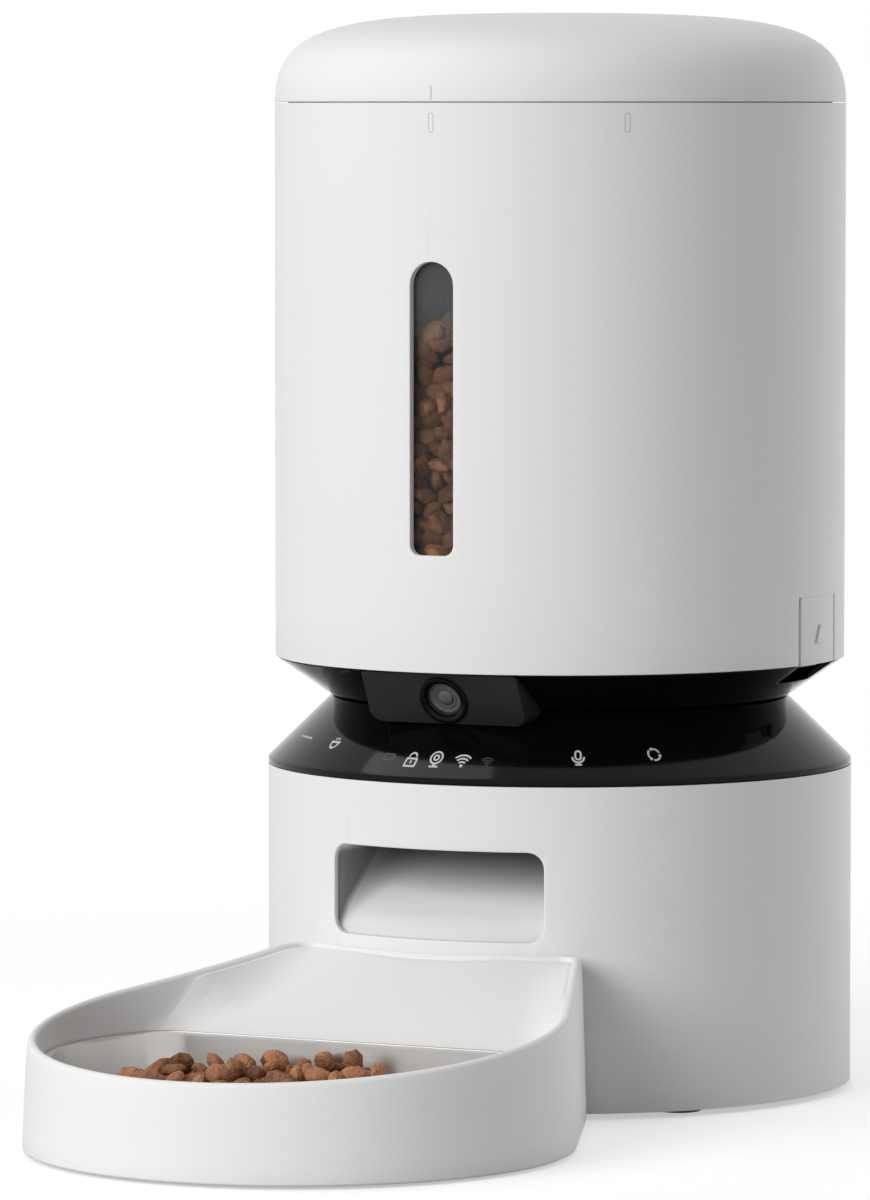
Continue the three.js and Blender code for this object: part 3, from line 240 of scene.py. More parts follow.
materials = {name: makeMaterial(name, look) for name, look in looks.items()}
print("materials ready")


# ---- shaping helpers ----

def pick(form, names):
    return [form[name] for name in names.split()]


def looseEdges(bm):
    return [e for e in bm.edges if not e.link_faces]


def looseVerts(bm):
    return [v for v in bm.verts if not v.link_faces]


def openEdges(bm):
    return [e for e in bm.edges if len(e.link_faces) == 1]


def onlyVerts(geom):
    return [g for g in geom if isinstance(g, bmesh.types.BMVert)]


# A place at an angle from the front
def onRing(radius, turned, z=0):
    return Vector((radius * math.sin(turned), -radius * math.cos(turned), z))


def degreesOf(width, radius):
    return math.degrees(math.asin(width / radius))


def rounded(left, right, low, high, corner, topCorner=None):
    top = corner if topCorner is None else topCorner
    return [(left, low, corner), (right, low, corner), (right, high, top), (left, high, top)]


def upright(corners):
    return [(c[0], 0, c[1], *c[2:]) for c in corners]


def bevel(bm, geom, offset, segments, affect="EDGES", clamp=False):
    bmesh.ops.bevel(bm, geom=geom, offset=offset, offset_type="OFFSET", affect=affect, segments=segments, profile=0.5,
                    material=-1, clamp_overlap=clamp)


# A wire through corners (x, y, z[, rounding]); each rounding is cut back along both its edges
def wire(bm, corners, closed=True, segments=6):
    verts = [bm.verts.new(c[:3]) for c in corners]
    for a, b in zip(verts, verts[1:] + (verts[:1] if closed else [])):
        bm.edges.new((a, b))
    for vert, corner in zip(verts, corners):
        if len(corner) > 3 and corner[3]:
            bevel(bm, [vert], corner[3], segments, "VERTICES")


# A profile of (radius, height[, rounding]) corners, spun once round the axis
def turn(bm, corners, steps=180, closed=True):
    wire(bm, upright(corners), closed, 4)
    bmesh.ops.spin(bm, geom=looseVerts(bm) + looseEdges(bm), cent=(0, 0, 0), axis=(0, 0, 1), angle=2 * math.pi,
                   steps=steps, use_merge=True)


def fillFlat(bm, normal=(0, -1, 0)):
    bmesh.ops.triangle_fill(bm, use_beauty=True, edges=looseEdges(bm), normal=normal)


# A flat sheet in the X-Z plane, facing the front, with openings in it
def sheet(bm, outline, holes=()):
    for corners in (outline, *holes):
        wire(bm, upright(corners))
    fillFlat(bm)


def thicken(bm, faces, vector):
    made = bmesh.ops.extrude_face_region(bm, geom=faces, use_keep_orig=True)["geom"]
    bmesh.ops.translate(bm, vec=vector, verts=onlyVerts(made))


# Rounds the edges where two faces meet squarely and both ends pass the test
def softenEdges(bm, test, offset):
    bm.normal_update()
    edges = [e for e in bm.edges if len(e.link_faces) == 2 and e.calc_face_angle() > 1.0]
    bevel(bm, [e for e in edges if all(test(v.co) for v in e.verts)], offset, 3, clamp=True)


def slice(bm, places, normal=(1, 0, 0)):
    for place in places:
        bmesh.ops.bisect_plane(bm, geom=bm.verts[:] + bm.edges[:] + bm.faces[:], dist=1e-5,
                               plane_co=[place * n for n in normal], plane_no=normal)


# Rolls a flat sheet round the axis: x along the arc, y as depth behind the surface
def bend(verts, reach, radiusAt=None):
    for v in verts:
        radius = (radiusAt(v.co.z) if radiusAt else reach) - v.co.y
        v.co = onRing(radius, v.co.x / reach, v.co.z)


# Adds a part made on its own to the piece, turned about the axis
def join(bm, part, azimuth=0):
    bmesh.ops.rotate(part, cent=(0, 0, 0), matrix=Matrix.Rotation(math.radians(azimuth), 3, "Z"), verts=part.verts)
    mesh = bpy.data.meshes.new("part")
    part.to_mesh(mesh)
    part.free()
    bm.from_mesh(mesh)
    bpy.data.meshes.remove(mesh)


# A curved wall with openings: corners are (degrees from the front, height[, rounding])
def curvedWall(bm, reach, wall, outline, holes=(), soft=0.35, step=2, radiusAt=None, closedRound=False, azimuth=0,
               sharp=None):
    part = bmesh.new()
    scale = math.radians(1) * reach
    place = lambda corners: [(c[0] * scale, c[1], *c[2:]) for c in corners]
    ends = [min(c[0] for c in outline) * scale, max(c[0] for c in outline) * scale]
    sheet(part, place(outline), [place(h) for h in holes])
    thicken(part, part.faces[:], (0, wall, 0))
    atEnd = lambda co: closedRound and any(abs(co.x - x) < 1e-3 for x in ends)
    atSharp = lambda co: sharp is not None and abs(co.z - sharp) <= 1e-3
    softenEdges(part, lambda co: abs(co.y) < 1e-4 and not atEnd(co) and not atSharp(co), soft)
    if closedRound:
        caps = [f for f in part.faces if any(all(abs(v.co.x - x) < 1e-3 for v in f.verts) for x in ends)]
        bmesh.ops.delete(part, geom=caps, context="FACES_ONLY")
    first, last = math.ceil(ends[0] / scale / step), math.floor(ends[1] / scale / step)
    slice(part, [k * step * scale for k in range(first, last + 1)])
    bend(part.verts, reach, radiusAt)
    join(bm, part, azimuth)


def roundedBox(bm, low, high, soft=0):
    made = bmesh.ops.create_cube(bm, size=1)["verts"]
    bmesh.ops.scale(bm, vec=[b - a for a, b in zip(low, high)], verts=made)
    bmesh.ops.translate(bm, vec=[(a + b) / 2 for a, b in zip(low, high)], verts=made)
    if soft:
        bevel(bm, list(dict.fromkeys(e for v in made for e in v.link_edges)), soft, 2)


# Merges, turns the faces outwards, puts the shape in place in metres and makes the object
def finishPiece(name, bm, material, body, replaced=(), smoothAngle=32, place=None, flip=True):
    bmesh.ops.remove_doubles(bm, verts=bm.verts, dist=0.004)
    bmesh.ops.dissolve_degenerate(bm, dist=0.001, edges=bm.edges)
    if flip:
        bmesh.ops.recalc_face_normals(bm, faces=bm.faces)
    if place:
        bmesh.ops.transform(bm, matrix=place, verts=bm.verts)
    bmesh.ops.transform(bm, matrix=Matrix.Translation((0, housingY, 0)) @ Matrix.Scale(mm, 4), verts=bm.verts)
    mesh = bpy.data.meshes.new(name)
    bm.to_mesh(mesh)
    bm.free()
    mesh.shade_smooth()
    mesh.set_sharp_from_angle(angle=math.radians(smoothAngle))
    piece = bpy.data.objects.new(name, mesh)
    scene.collection.objects.link(piece)
    mesh.materials.append(materials[material])
    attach(piece, body)
    if replaced:
        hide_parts(*replaced)
    return piece


def turnedPiece(name, corners, steps, material, body, replaced, closed=True, **others):
    bm = bmesh.new()
    turn(bm, corners, steps, closed)
    finishPiece(name, bm, material, body, replaced, **others)


def giveWall(piece, thickness, even):
    wall = piece.modifiers.new("wall", "SOLIDIFY")
    wall.thickness, wall.offset, wall.use_even_offset = thickness * mm, -1, even


# ---- base ----

baseShell = {"radius": 100, "wall": 2.6, "low": 2, "high": 110.5, "soft": 0.45, "seam": 135}
mouth = {"halfWidth": 39.2, "low": 58.8, "high": 88.8, "corner": 5.5, "spare": 0.1}
inlet = {"halfWidth": 7.5, "low": 19.5, "high": 28.5, "corner": 3, "depth": 1.2, "overlap": 0.02, "soft": 0.15,
         "slotHalf": 4.5, "slotLow": 22.35, "slotHigh": 25.65, "slotCorner": 1.6}
hooks = {"x": 24, "half": 6.5, "low": 19.5, "high": 24.1, "corner": 0.6, "hookHalf": 6, "front": -103, "back": -92,
         "hookLow": 20, "hookHigh": 23.6, "soft": 0.4}


def makeBaseShell():
    bm = bmesh.new()
    radius, wall, low, high, seam = pick(baseShell, "radius wall low high seam")
    outline = [(seam - 360, low), (seam, low), (seam, high), (seam - 360, high)]
    side = degreesOf(mouth["halfWidth"], radius)
    back = degreesOf(inlet["halfWidth"], radius)
    holes = [rounded(-side, side, mouth["low"], mouth["high"], mouth["corner"] * 1.02),
             rounded(-180 - back, -180 + back, inlet["low"], inlet["high"], inlet["corner"])]
    for sign in (-1, 1):
        near, far = sorted(sign * degreesOf(hooks["x"] + k * hooks["half"], radius) for k in (-1, 1))
        holes.append(rounded(near, far, hooks["low"], hooks["high"], hooks["corner"]))
    curvedWall(bm, radius, wall, outline, holes, baseShell["soft"], closedRound=True)
    # The mouth is cut straight back, so its inner rim has the outer rim's width
    inside, spare = radius - wall, mouth["spare"]
    for v in bm.verts:
        inMouth = abs(v.co.x) < mouth["halfWidth"] and mouth["low"] - spare < v.co.z < mouth["high"] + spare
        if abs(v.co.xy.length - inside) < 0.01 and v.co.y < 0 and inMouth:
            x = v.co.x * radius / inside
            v.co = Vector((x, -math.sqrt(inside ** 2 - x ** 2), v.co.z))
    # A set-back panel round the power inlet's slot
    deep = radius - inlet["depth"]
    slot = degreesOf(inlet["slotHalf"], deep)
    panel = degreesOf(inlet["halfWidth"] + inlet["overlap"], deep)
    curvedWall(bm, deep, wall - inlet["depth"],
               rounded(-180 - panel, -180 + panel, inlet["low"], inlet["high"], inlet["corner"]),
               [rounded(-180 - slot, -180 + slot, *pick(inlet, "slotLow slotHigh slotCorner"))], inlet["soft"])
    finishPiece("baseShell", bm, "whitePlastic", "base", ["base_shell"])


makeBaseShell()

feet = {"ring": 85, "radius": 8, "top": 2.9, "bevel": 0.8, "soft": 0.4, "topSoft": 0.2, "azimuths": (54, 126, 234, 306)}
footProfile = [(0, 0), (feet["radius"] - feet["bevel"], 0, feet["soft"]), (feet["radius"], feet["bevel"], feet["soft"]),
               (feet["radius"], feet["top"], feet["topSoft"]), (0, feet["top"])]
for number, azimuth in enumerate(feet["azimuths"], 1):
    turnedPiece(f"rubberFoot{number}", footProfile, 48, "footRubber", "base", [f"foot_{number}"], closed=False,
                place=Matrix.Translation(onRing(feet["ring"], math.radians(azimuth))))

# The chute: one smooth duct from the opening under the rotor down to the mouth
chute = {"wall": 1.9, "reach": 97.0, "halfWidth": 39.2, "corner": 5.5, "columns": 14, "rows": 5,
         "sections": [  # floor point and ceiling point of each section, as (y, z)
             ((-84, 66.2), (-80, 88.8)), ((-76, 71.8), (-70.5, 88.9)), ((-66, 77.8), (-64.5, 91.2)),
             ((-52, 86.3), (-60.2, 96.0)), ((-36, 96.0), (-58.3, 103.5)), ((-22, 104.5), (-58, 109.5)),
             ((-15.2, 109.6), (-58, 113.4)), ((-14, 116.7), (-58, 116.7))]}


# One rounded section between a floor point and a ceiling point, in its own leaning plane
def addSection(bm, floor, ceiling):
    part = bmesh.new()
    half, corner = chute["halfWidth"], chute["corner"]
    rise = Vector((0, ceiling[0] - floor[0], ceiling[1] - floor[1]))
    wire(part, upright(rounded(-half, half, 0, rise.length, corner)), segments=8)
    level = [e for e in part.edges if abs(e.verts[0].co.z - e.verts[1].co.z) < 1e-4]
    standing = [e for e in part.edges if abs(e.verts[0].co.x - e.verts[1].co.x) < 1e-4]
    bmesh.ops.subdivide_edges(part, edges=level, cuts=chute["columns"])
    bmesh.ops.subdivide_edges(part, edges=standing, cuts=chute["rows"])
    for v in part.verts:
        v.co = Vector((v.co.x, floor[0], floor[1])) + rise * (v.co.z / rise.length)
    count = len(bm.verts)
    join(bm, part)
    bm.verts.ensure_lookup_table()
    return bm.verts[count:]


# A band of faces between two loops
def bridge(bm, *loops):
    loops = [set(loop) for loop in loops]
    pair = [e for e in bm.edges if len(e.link_faces) < 2 and any(loop.issuperset(e.verts) for loop in loops)]
    bmesh.ops.bridge_loops(bm, edges=pair)


def makeChute():
    bm = bmesh.new()
    # The first section is the mouth's own outline, laid on the inside of the shell
    near = addSection(bm, (-chute["reach"], mouth["low"]), (-chute["reach"], mouth["high"]))
    for v in near:
        v.co.y = -math.sqrt(chute["reach"] ** 2 - v.co.x ** 2)
    for floor, ceiling in chute["sections"]:
        far = addSection(bm, floor, ceiling)
        bridge(bm, near, far)
        near = far
    bmesh.ops.recalc_face_normals(bm, faces=bm.faces)
    bmesh.ops.reverse_faces(bm, faces=bm.faces)
    # Its moulding carries painted shade, darker on the side walls and deep in the duct
    piece = finishPiece("foodChute", bm, "ductPlasticPaintedShade", "base", ["food_chute"], smoothAngle=50, flip=False)
    giveWall(piece, chute["wall"], True)


makeChute()
print("base ready")

# ---- waist ----

ring = {"radius": 100, "low": 110.8, "band": 112.6, "edge": 98.9, "foot": 113.7, "waist": 78.2, "top": 133.8,
        "inner": 75.0, "shoulder": 95.7, "inside": 96.8}
turnedPiece("controlRing", [
    (ring["radius"], ring["low"], 0.25), (ring["radius"], ring["band"], 0.35), (ring["edge"], ring["foot"], 0.45),
    (ring["waist"], ring["top"], 0.5), (ring["inner"], ring["top"]), (ring["shoulder"], ring["foot"]),
    (ring["inside"], ring["low"])], 240, "glossBlack", "base", ["control_ring"])


def coneRadius(z):
    share = (z - ring["foot"]) / (ring["top"] - ring["foot"])
    return ring["edge"] + (ring["waist"] - ring["edge"]) * share


cradle = {"low": 134.1, "plate": 136.5, "top": 147.1, "rim": 97.0, "cup": 62, "cupWall": 2.4, "cupLow": 117.1,
          "cupFloor": 119.5, "reach": 90, "wall": 2.9, "soft": 0.3, "notchLow": 141.1, "latchHalf": 8.1,
          "cameraHalf": 29.1, "shaft": 5.5, "outlet": {"inner": 16, "outer": 56, "half": 40}}


def cradleRadius(z):
    share = (z - cradle["low"]) / (cradle["top"] - cradle["low"])
    return ring["waist"] + (cradle["rim"] - ring["waist"]) * share


def makeCradle():
    bm = bmesh.new()
    low, plate, top, cup, cupLow, cupFloor = pick(cradle, "low plate top cup cupLow cupFloor")
    lip = cradleRadius(plate)
    foot, head = degreesOf(cradle["cameraHalf"], lip), degreesOf(cradle["cameraHalf"], cradle["rim"])
    half, notch = cradle["latchHalf"], cradle["notchLow"]
    outline = [(foot, plate), (360 - foot, plate), (360 - head, top)]
    for side in (270, 90):
        outline += [(side + half, top), (side + half, notch, 0.8), (side - half, notch, 0.8), (side - half, top)]
    curvedWall(bm, cradle["reach"], cradle["wall"], outline + [(head, top)], soft=cradle["soft"], radiusAt=cradleRadius)
    outside = cup + cradle["cupWall"]
    turn(bm, [(outside, cupFloor), (outside, low), (ring["waist"], low, 0.4), (lip, plate), (cup, plate, 0.6),
              (cup, cupFloor)])
    # The cup's floor, with the hub's hole and the outlet
    hole, corners = cradle["outlet"], []
    edge = math.radians(hole["half"])
    arcs = [(outside, 0, 2 * math.pi, 90), (cradle["shaft"], 0, 2 * math.pi, 24), (hole["outer"], -edge, 2 * edge, 24),
            (hole["inner"], edge, -2 * edge, 24)]
    for radius, start, sweep, steps in arcs:
        first = bm.verts.new(onRing(radius, start, cupLow))
        bmesh.ops.spin(bm, geom=[first], cent=(0, 0, cupLow), axis=(0, 0, 1), angle=sweep, steps=steps,
                       use_merge=sweep == 2 * math.pi)
        if start:
            corners.append([bm.verts.new(onRing(radius, turned, cupLow)) for turned in (start, -start)])
    bm.edges.new((corners[0][1], corners[1][0]))
    bm.edges.new((corners[0][0], corners[1][1]))
    bmesh.ops.remove_doubles(bm, verts=looseVerts(bm), dist=0.01)
    fillFlat(bm, (0, 0, -1))
    floor = [f for f in bm.faces if all(abs(v.co.z - cupLow) < 1e-4 for v in f.verts)]
    thicken(bm, floor, (0, 0, cupFloor - cupLow))
    finishPiece("tankCradle", bm, "glossBlack", "base", ["tank_cradle"])


makeCradle()

# ---- camera ----

camera = {"halfWidth": 28.8, "top": 146.8, "bottom": 129.6, "faceTop": 92.6, "faceBottom": 84.0, "corner": 4.5,
          "topCorner": 0.9, "bore": 6.9, "boreDepth": 8, "lensY": -88.3, "lensZ": 137.7, "soft": 0.55, "back": 74.9,
          "gap": 0.35, "columnStep": 3.2, "rowStep": 2}
tilt = math.atan2(camera["faceTop"] - camera["faceBottom"], camera["top"] - camera["bottom"])
lensPlace = Matrix.Translation((0, camera["lensY"], camera["lensZ"]))
facePlace = lensPlace @ Matrix.Rotation(tilt, 4, "X")
sightPlace = lensPlace @ Matrix.Rotation(math.pi / 2 + tilt, 4, "X")


def makeCameraBlock():
    bm = bmesh.new()
    half, bore, corner, topCorner = pick(camera, "halfWidth bore corner topCorner")
    low, high = [(z - camera["lensZ"]) / math.cos(tilt) for z in (camera["bottom"], camera["top"])]
    bmesh.ops.create_circle(bm, segments=64, radius=bore, matrix=Matrix.Rotation(math.pi / 2, 4, "X"))
    wire(bm, upright(rounded(-half, half, low, high, corner, topCorner)), segments=10)
    fillFlat(bm)
    slice(bm, [k * camera["columnStep"] for k in range(-9, 10)])
    slice(bm, [k * camera["rowStep"] for k in range(-4, 6)], (0, 0, 1))
    border = openEdges(bm)
    rim = [e for e in border if (e.verts[0].co + e.verts[1].co).length / 2 > bore + 0.6]
    rimVerts = {v for e in rim for v in e.verts}
    pushed = onlyVerts(bmesh.ops.extrude_edge_only(bm, edges=[e for e in border if e not in rim])["geom"])
    bmesh.ops.translate(bm, vec=(0, camera["boreDepth"], 0), verts=pushed)
    bmesh.ops.transform(bm, matrix=facePlace, verts=bm.verts)
    for v in bm.verts:
        if v not in pushed:
            v.co.y = -camera["faceTop"] + (camera["top"] - v.co.z) * math.tan(tilt)
    # The sides run back to the cones, or to the flat back above the cradle's plate
    for v in onlyVerts(bmesh.ops.extrude_edge_only(bm, edges=rim)["geom"]):
        z = v.co.z
        if z > cradle["plate"] + 0.5:
            v.co.y = -camera["back"]
        else:
            reach = camera["gap"] + (cradleRadius(z) if z > cradle["low"] - 0.2 else coneRadius(z))
            v.co.y = -math.sqrt(reach ** 2 - v.co.x ** 2)
    edges = [e for e in bm.edges if e.verts[0] in rimVerts and e.verts[1] in rimVerts and len(e.link_faces) == 2]
    bevel(bm, [e for e in edges if e.calc_face_angle(0) > 0.6], camera["soft"], 3, clamp=True)
    bmesh.ops.holes_fill(bm, edges=openEdges(bm), sides=0)
    finishPiece("cameraHousing", bm, "satinBlack", "base", ["camera_housing"], smoothAngle=40)


makeCameraBlock()

bezelProfile = [(8.8, 0, 0.1), (8.8, 0.45, 0.25), (8.4, 0.8, 0.25), (7.5, 0.8, 0.25), (6.4, 0.1, 0.2), (6.4, -1.2),
                (6.7, -1.2), (6.7, 0)]
turnedPiece("cameraBezel", bezelProfile, 96, "glossBlack", "base", ["camera_bezel"], place=sightPlace, smoothAngle=40)

barrelProfile = [(0, -7.2), (6.25, -7.2), (6.25, -0.7, 0.15), (6.0, -0.7, 0.1), (5.85, -1.1, 0.1), (5.75, -1.1, 0.1),
                 (5.7, -3.1), (0, -3.1)]
turnedPiece("cameraBarrel", barrelProfile, 96, "satinBlack", "base", ["camera_barrel"], closed=False, place=sightPlace)

# The front glass: fine rings round a small dome
glass = {"radius": 2.9, "rim": -1.95, "dome": 1.1, "steps": 9,
         "rings": [(0, -3.0), (5.7, -3.0), (5.7, -1.5, 0.1), (5.0, -1.5, 0.1), (4.8, -1.9, 0.1), (4.0, -1.9, 0.1),
                   (3.85, -1.65, 0.05), (3.6, -1.65, 0.05), (3.5, -1.95)]}
turns = [k * math.pi / 2 / glass["steps"] for k in range(glass["steps"])]
glassDome = [(glass["radius"] * math.cos(t), glass["rim"] + glass["dome"] * math.sin(t)) for t in turns]
turnedPiece("cameraGlass", glass["rings"] + glassDome + [(0, glass["rim"] + glass["dome"])], 72, "lensGlass", "base",
            ["camera_glass"], closed=False, place=sightPlace, smoothAngle=60)
print("camera block ready")

# ---- icons on the ring ----

icon = {"stroke": 0.62, "rise": 0.05, "thick": 0.04, "tall": 1.22, "steps": 20}
line = icon["stroke"]
faceFront = Matrix.Rotation(math.pi / 2, 4, "X")


def arc(bm, x, z, radius, start, sweep, steps=icon["steps"]):
    a, b = (bm.verts.new((x + r * math.cos(math.radians(start)), 0, z + r * math.sin(math.radians(start))))
            for r in (radius - line / 2, radius + line / 2))
    bmesh.ops.spin(bm, geom=[a, b, bm.edges.new((a, b))], cent=(x, 0, z), axis=(0, -1, 0), angle=math.radians(sweep),
                   steps=steps, use_merge=sweep == 360)


def bar(bm, x, z, width, height, lean=0):
    made = bmesh.ops.create_grid(bm, x_segments=1, y_segments=1, size=0.5)["verts"]
    bmesh.ops.scale(bm, vec=(width, height, 1), verts=made)
    leaned = Matrix.Rotation(math.radians(-lean), 4, "Y")
    bmesh.ops.transform(bm, matrix=Matrix.Translation((x, 0, z)) @ leaned @ faceFront, verts=made)


def dot(bm, x, z, radius):
    bmesh.ops.create_circle(bm, cap_ends=True, segments=icon["steps"], radius=radius,
                            matrix=Matrix.Translation((x, 0, z)) @ faceFront)


def both(draw, x, z, *form):
    return [(draw, -x, z, *form), (draw, x, z, *form)]


# Each icon as its strokes, in millimetres about its middle
lock = [(arc, 0, 0.7, 1.35, 0, 180), *both(bar, 1.35, 0.4, line, 0.6), (bar, 0, 0.0, 4.3, line),
        (bar, 0, -2.7, 4.3, line), *both(bar, 1.95, -1.35, line, 2.6), (bar, 0, -1.2, 0.6, 1.0)]
lens = [(arc, 0, 0.6, 2.1, 0, 360, 32), (arc, 0, 0.6, 0.85, 0, 360, 24), (bar, 0, -1.95, 1.0, 0.7),
        (bar, 0, -2.6, 3.2, line)]
signal = [(arc, 0, -2.3, radius, 45, 90) for radius in (1.5, 2.7, 3.9)] + [(dot, 0, -2.2, 0.55)]
voice = [(arc, 0, 1.0, 0.9, 0, 180), (arc, 0, -0.2, 0.9, 180, 180), *both(bar, 0.9, 0.4, line, 1.25),
         (arc, 0, -0.2, 1.95, 180, 180), (bar, 0, -2.45, line, 0.8), (bar, 0, -2.95, 2.2, line)]
cycle = []
for start in (15, 135, 255):
    tip = math.radians(start + 92)
    cycle += [(arc, 0, 0, 2.0, start, 86), (bar, 2.0 * math.cos(tip), 2.0 * math.sin(tip), 0.9, 0.9, start + 45)]
cell = [(bar, 0, -1.3, 5.0, line), (bar, 0, 1.3, 5.0, line), *both(bar, 2.4, 0, line, 2.6), (bar, 3.0, 0, 0.5, 1.2)]
dish = [(arc, 0, 0.7, 1.8, 180, 180), (bar, 0, 0.8, 4.6, line), *both(dot, 0.7, 1.8, 0.4)]
dashes = [(bar, 2.3 * k - 4.6, 0, width, 0.75, 12 * (k % 2)) for k, width in enumerate((1.5, 1.0, 1.6, 1.2, 1.5))]

# Each icon's azimuth, height, size and finish
icons = {"lockIcon": (lock, -5.4, 118.4, 1.0, "iconGrey"), "lensIcon": (lens, 0.1, 118.5, 1.0, "iconGrey"),
         "signalIcon": (signal, 6.0, 118.7, 1.0, "iconGrey"), "voiceIcon": (voice, 29.8, 120.2, 1.0, "iconGrey"),
         "cycleIcon": (cycle, 45.9, 120.4, 1.0, "iconGrey"), "cellIcon": (cell, -11.2, 118.5, 0.8, "iconDim"),
         "signalDimIcon": (signal, 11.3, 118.4, 0.75, "iconDim"), "bowlIcon": (dish, -29.8, 120.6, 1.15, "iconGrey"),
         "dashIcon": (dashes, -44.6, 121.3, 1.0, "iconGrey")}
slope = math.cos(math.atan2(ring["edge"] - ring["waist"], ring["top"] - ring["foot"]))
for name, (strokes, azimuth, height, size, finish) in icons.items():
    bm = bmesh.new()
    for draw, *form in strokes:
        draw(bm, *form)
    thicken(bm, bm.faces[:], (0, icon["thick"], 0))
    for v in bm.verts:
        z = height + v.co.z * size * icon["tall"] * slope
        turned = math.radians(azimuth) + v.co.x * size / coneRadius(height)
        v.co = onRing(coneRadius(z) + icon["rise"] - v.co.y, turned, z)
    finishPiece(name, bm, finish, "base")
print("icons ready")

# ---- tank ----

tank = {"radius": 97.5, "wall": 2.4, "low": 147.4, "high": 336.2, "soft": 0.3, "seam": 135, "latchTop": 170.4,
        "latchHalf": 8.62, "latchCorner": 0.8}
window = {"half": 8, "low": 186.4, "high": 283.7, "lowCorner": 3.5, "topCorner": 7.9, "lap": 5, "paneWall": 2.3,
          "paneGap": 0.3, "paneCorner": 2}
rib = {"inner": 93.2, "outer": 95.3, "half": 2, "low": 315.9, "high": 327.9, "soft": 0.4}


def makeTankShell():
    bm = bmesh.new()
    radius, low, high, seam, half, top, corner = pick(tank, "radius low high seam latchHalf latchTop latchCorner")
    outline = [(seam - 360, low)]
    for side in (-90, 90):
        outline += [(side - half, low), (side - half, top, corner), (side + half, top, corner), (side + half, low)]
    side = degreesOf(window["half"], radius)
    slot = rounded(-side, side, *pick(window, "low high lowCorner topCorner"))
    curvedWall(bm, radius, tank["wall"], outline + [(seam, low), (seam, high), (seam - 360, high)], [slot],
               tank["soft"], closedRound=True, sharp=top)
    for azimuth in (0, 90, 180, 270):
        part = bmesh.new()
        wide = math.radians(rib["half"]) * rib["outer"]
        roundedBox(part, (-wide, 0, rib["low"]), (wide, rib["outer"] - rib["inner"], rib["high"]), rib["soft"])
        bend(part.verts, rib["outer"])
        join(bm, part, azimuth)
    finishPiece("tankShell", bm, "whitePlastic", "tank", ["tank_shell"])


makeTankShell()

# The pane lies behind the slot, a little larger all round
bm = bmesh.new()
paneRadius = tank["radius"] - tank["wall"] - window["paneGap"]
paneSide = degreesOf(window["half"] + window["lap"], paneRadius)
curvedWall(bm, paneRadius, window["paneWall"], rounded(-paneSide, paneSide, window["low"] - window["lap"] / 2,
                                                       window["high"] + window["lap"], window["paneCorner"]),
           soft=0.3, step=1)
finishPiece("windowPane", bm, "smokedPane", "tank", ["window_pane"])

funnelProfile = [(61.2, 120), (61.2, 151, 2), (94.8, 180, 2), (94.8, 183.5, 0.4), (92.4, 183.5, 0.4),
                 (92.4, 181.2, 2.5), (58.8, 152.2, 4), (58.8, 120)]
turnedPiece("tankFunnel", funnelProfile, 144, "innerPlastic", "tank", ["tank_funnel"])

latch = {"half": 7.78, "low": 147.5, "high": 170.36, "corner": 0.6, "soft": 0.12, "lean": 0.16, "leanDepth": 0.2,
         "nose": 7, "noseFront": 93.5, "noseBack": 90.5, "noseLow": 146.5, "noseHigh": 150.5, "noseSoft": 0.4,
         "stemFront": 95.4, "stemBack": 90.9, "stemLow": 147.9, "stemHigh": 150.4}
latchMark = {"half": 3.2, "low": 154.6, "high": 161.0, "rise": 0.75, "wall": 0.6, "corner": 0.4, "soft": 0.15}


def makeLatch(name, node, azimuth):
    bm = bmesh.new()
    radius, wall, (half, low, high, corner) = tank["radius"], tank["wall"], pick(latch, "half low high corner")
    curvedWall(bm, radius, wall, rounded(-half, half, low, high, corner), soft=latch["soft"], step=1, sharp=high)
    # The top leans down inwards, to leave room when the tongue is pressed
    for v in bm.verts:
        if v.co.z > high - 0.2:
            v.co.z -= latch["lean"] * max(0, radius - latch["leanDepth"] - v.co.xy.length)
    markLow, markHigh, rise, markWall, corner = pick(latchMark, "low high rise wall corner")
    side = degreesOf(latchMark["half"], radius)
    curvedWall(bm, radius + rise, markWall, [(-side, markLow, corner), (side, markLow, corner), (0, markHigh, corner)],
               soft=latchMark["soft"], step=1)
    x = latch["nose"]
    for part, soft in (("nose", latch["noseSoft"]), ("stem", 0)):
        front, back, low, high = (latch[part + end] for end in ("Front", "Back", "Low", "High"))
        roundedBox(bm, (-x, -front, low), (x, -back, high), soft)
    finishPiece(name, bm, "whitePlastic", node, [node], place=Matrix.Rotation(math.radians(azimuth), 4, "Z"))


makeLatch("latchRight", "latch_right", 90)
makeLatch("latchLeft", "latch_left", -90)

# Printed marks: where the lid opens and where it locks
printed = {"width": 2.0, "low": 326.3, "high": 332.9, "line": 0.32, "azimuths": (0, 39.1), "thick": 0.05, "rise": 0.03,
           "soft": 0.01}
for number, azimuth in enumerate(printed["azimuths"], 1):
    bm = bmesh.new()
    width, low, high, inset = pick(printed, "width low high line")
    half, inner = (degreesOf(width / 2 - drawnIn, tank["radius"]) for drawnIn in (0, inset))
    curvedWall(bm, tank["radius"] + printed["rise"], printed["thick"], rounded(-half, half, low, high, width * 0.49),
               [rounded(-inner, inner, low + inset, high - inset, (width / 2 - inset) * 0.98)], soft=printed["soft"],
               step=1)
    finishPiece(f"turnMark{number}", bm, "markGrey", "tank", place=Matrix.Rotation(math.radians(azimuth), 4, "Z"))
print("tank ready")

# ---- lid ----

lid = {"radius": 97.5, "wall": 2.4, "low": 336.5, "height": 30.2, "shoulder": 0.9, "crown": 0.75, "steps": 48,
       "innerSteps": 20, "soft": 0.25}


def domeLine(radius, height, steps):
    low, top = lid["low"], lid["low"] + height
    points = interpolate_bezier((radius, 0, low), (radius, 0, low + height * lid["shoulder"]),
                                (radius * lid["crown"], 0, top), (0, 0, top), steps)
    return [(p.x, p.z) for p in points]


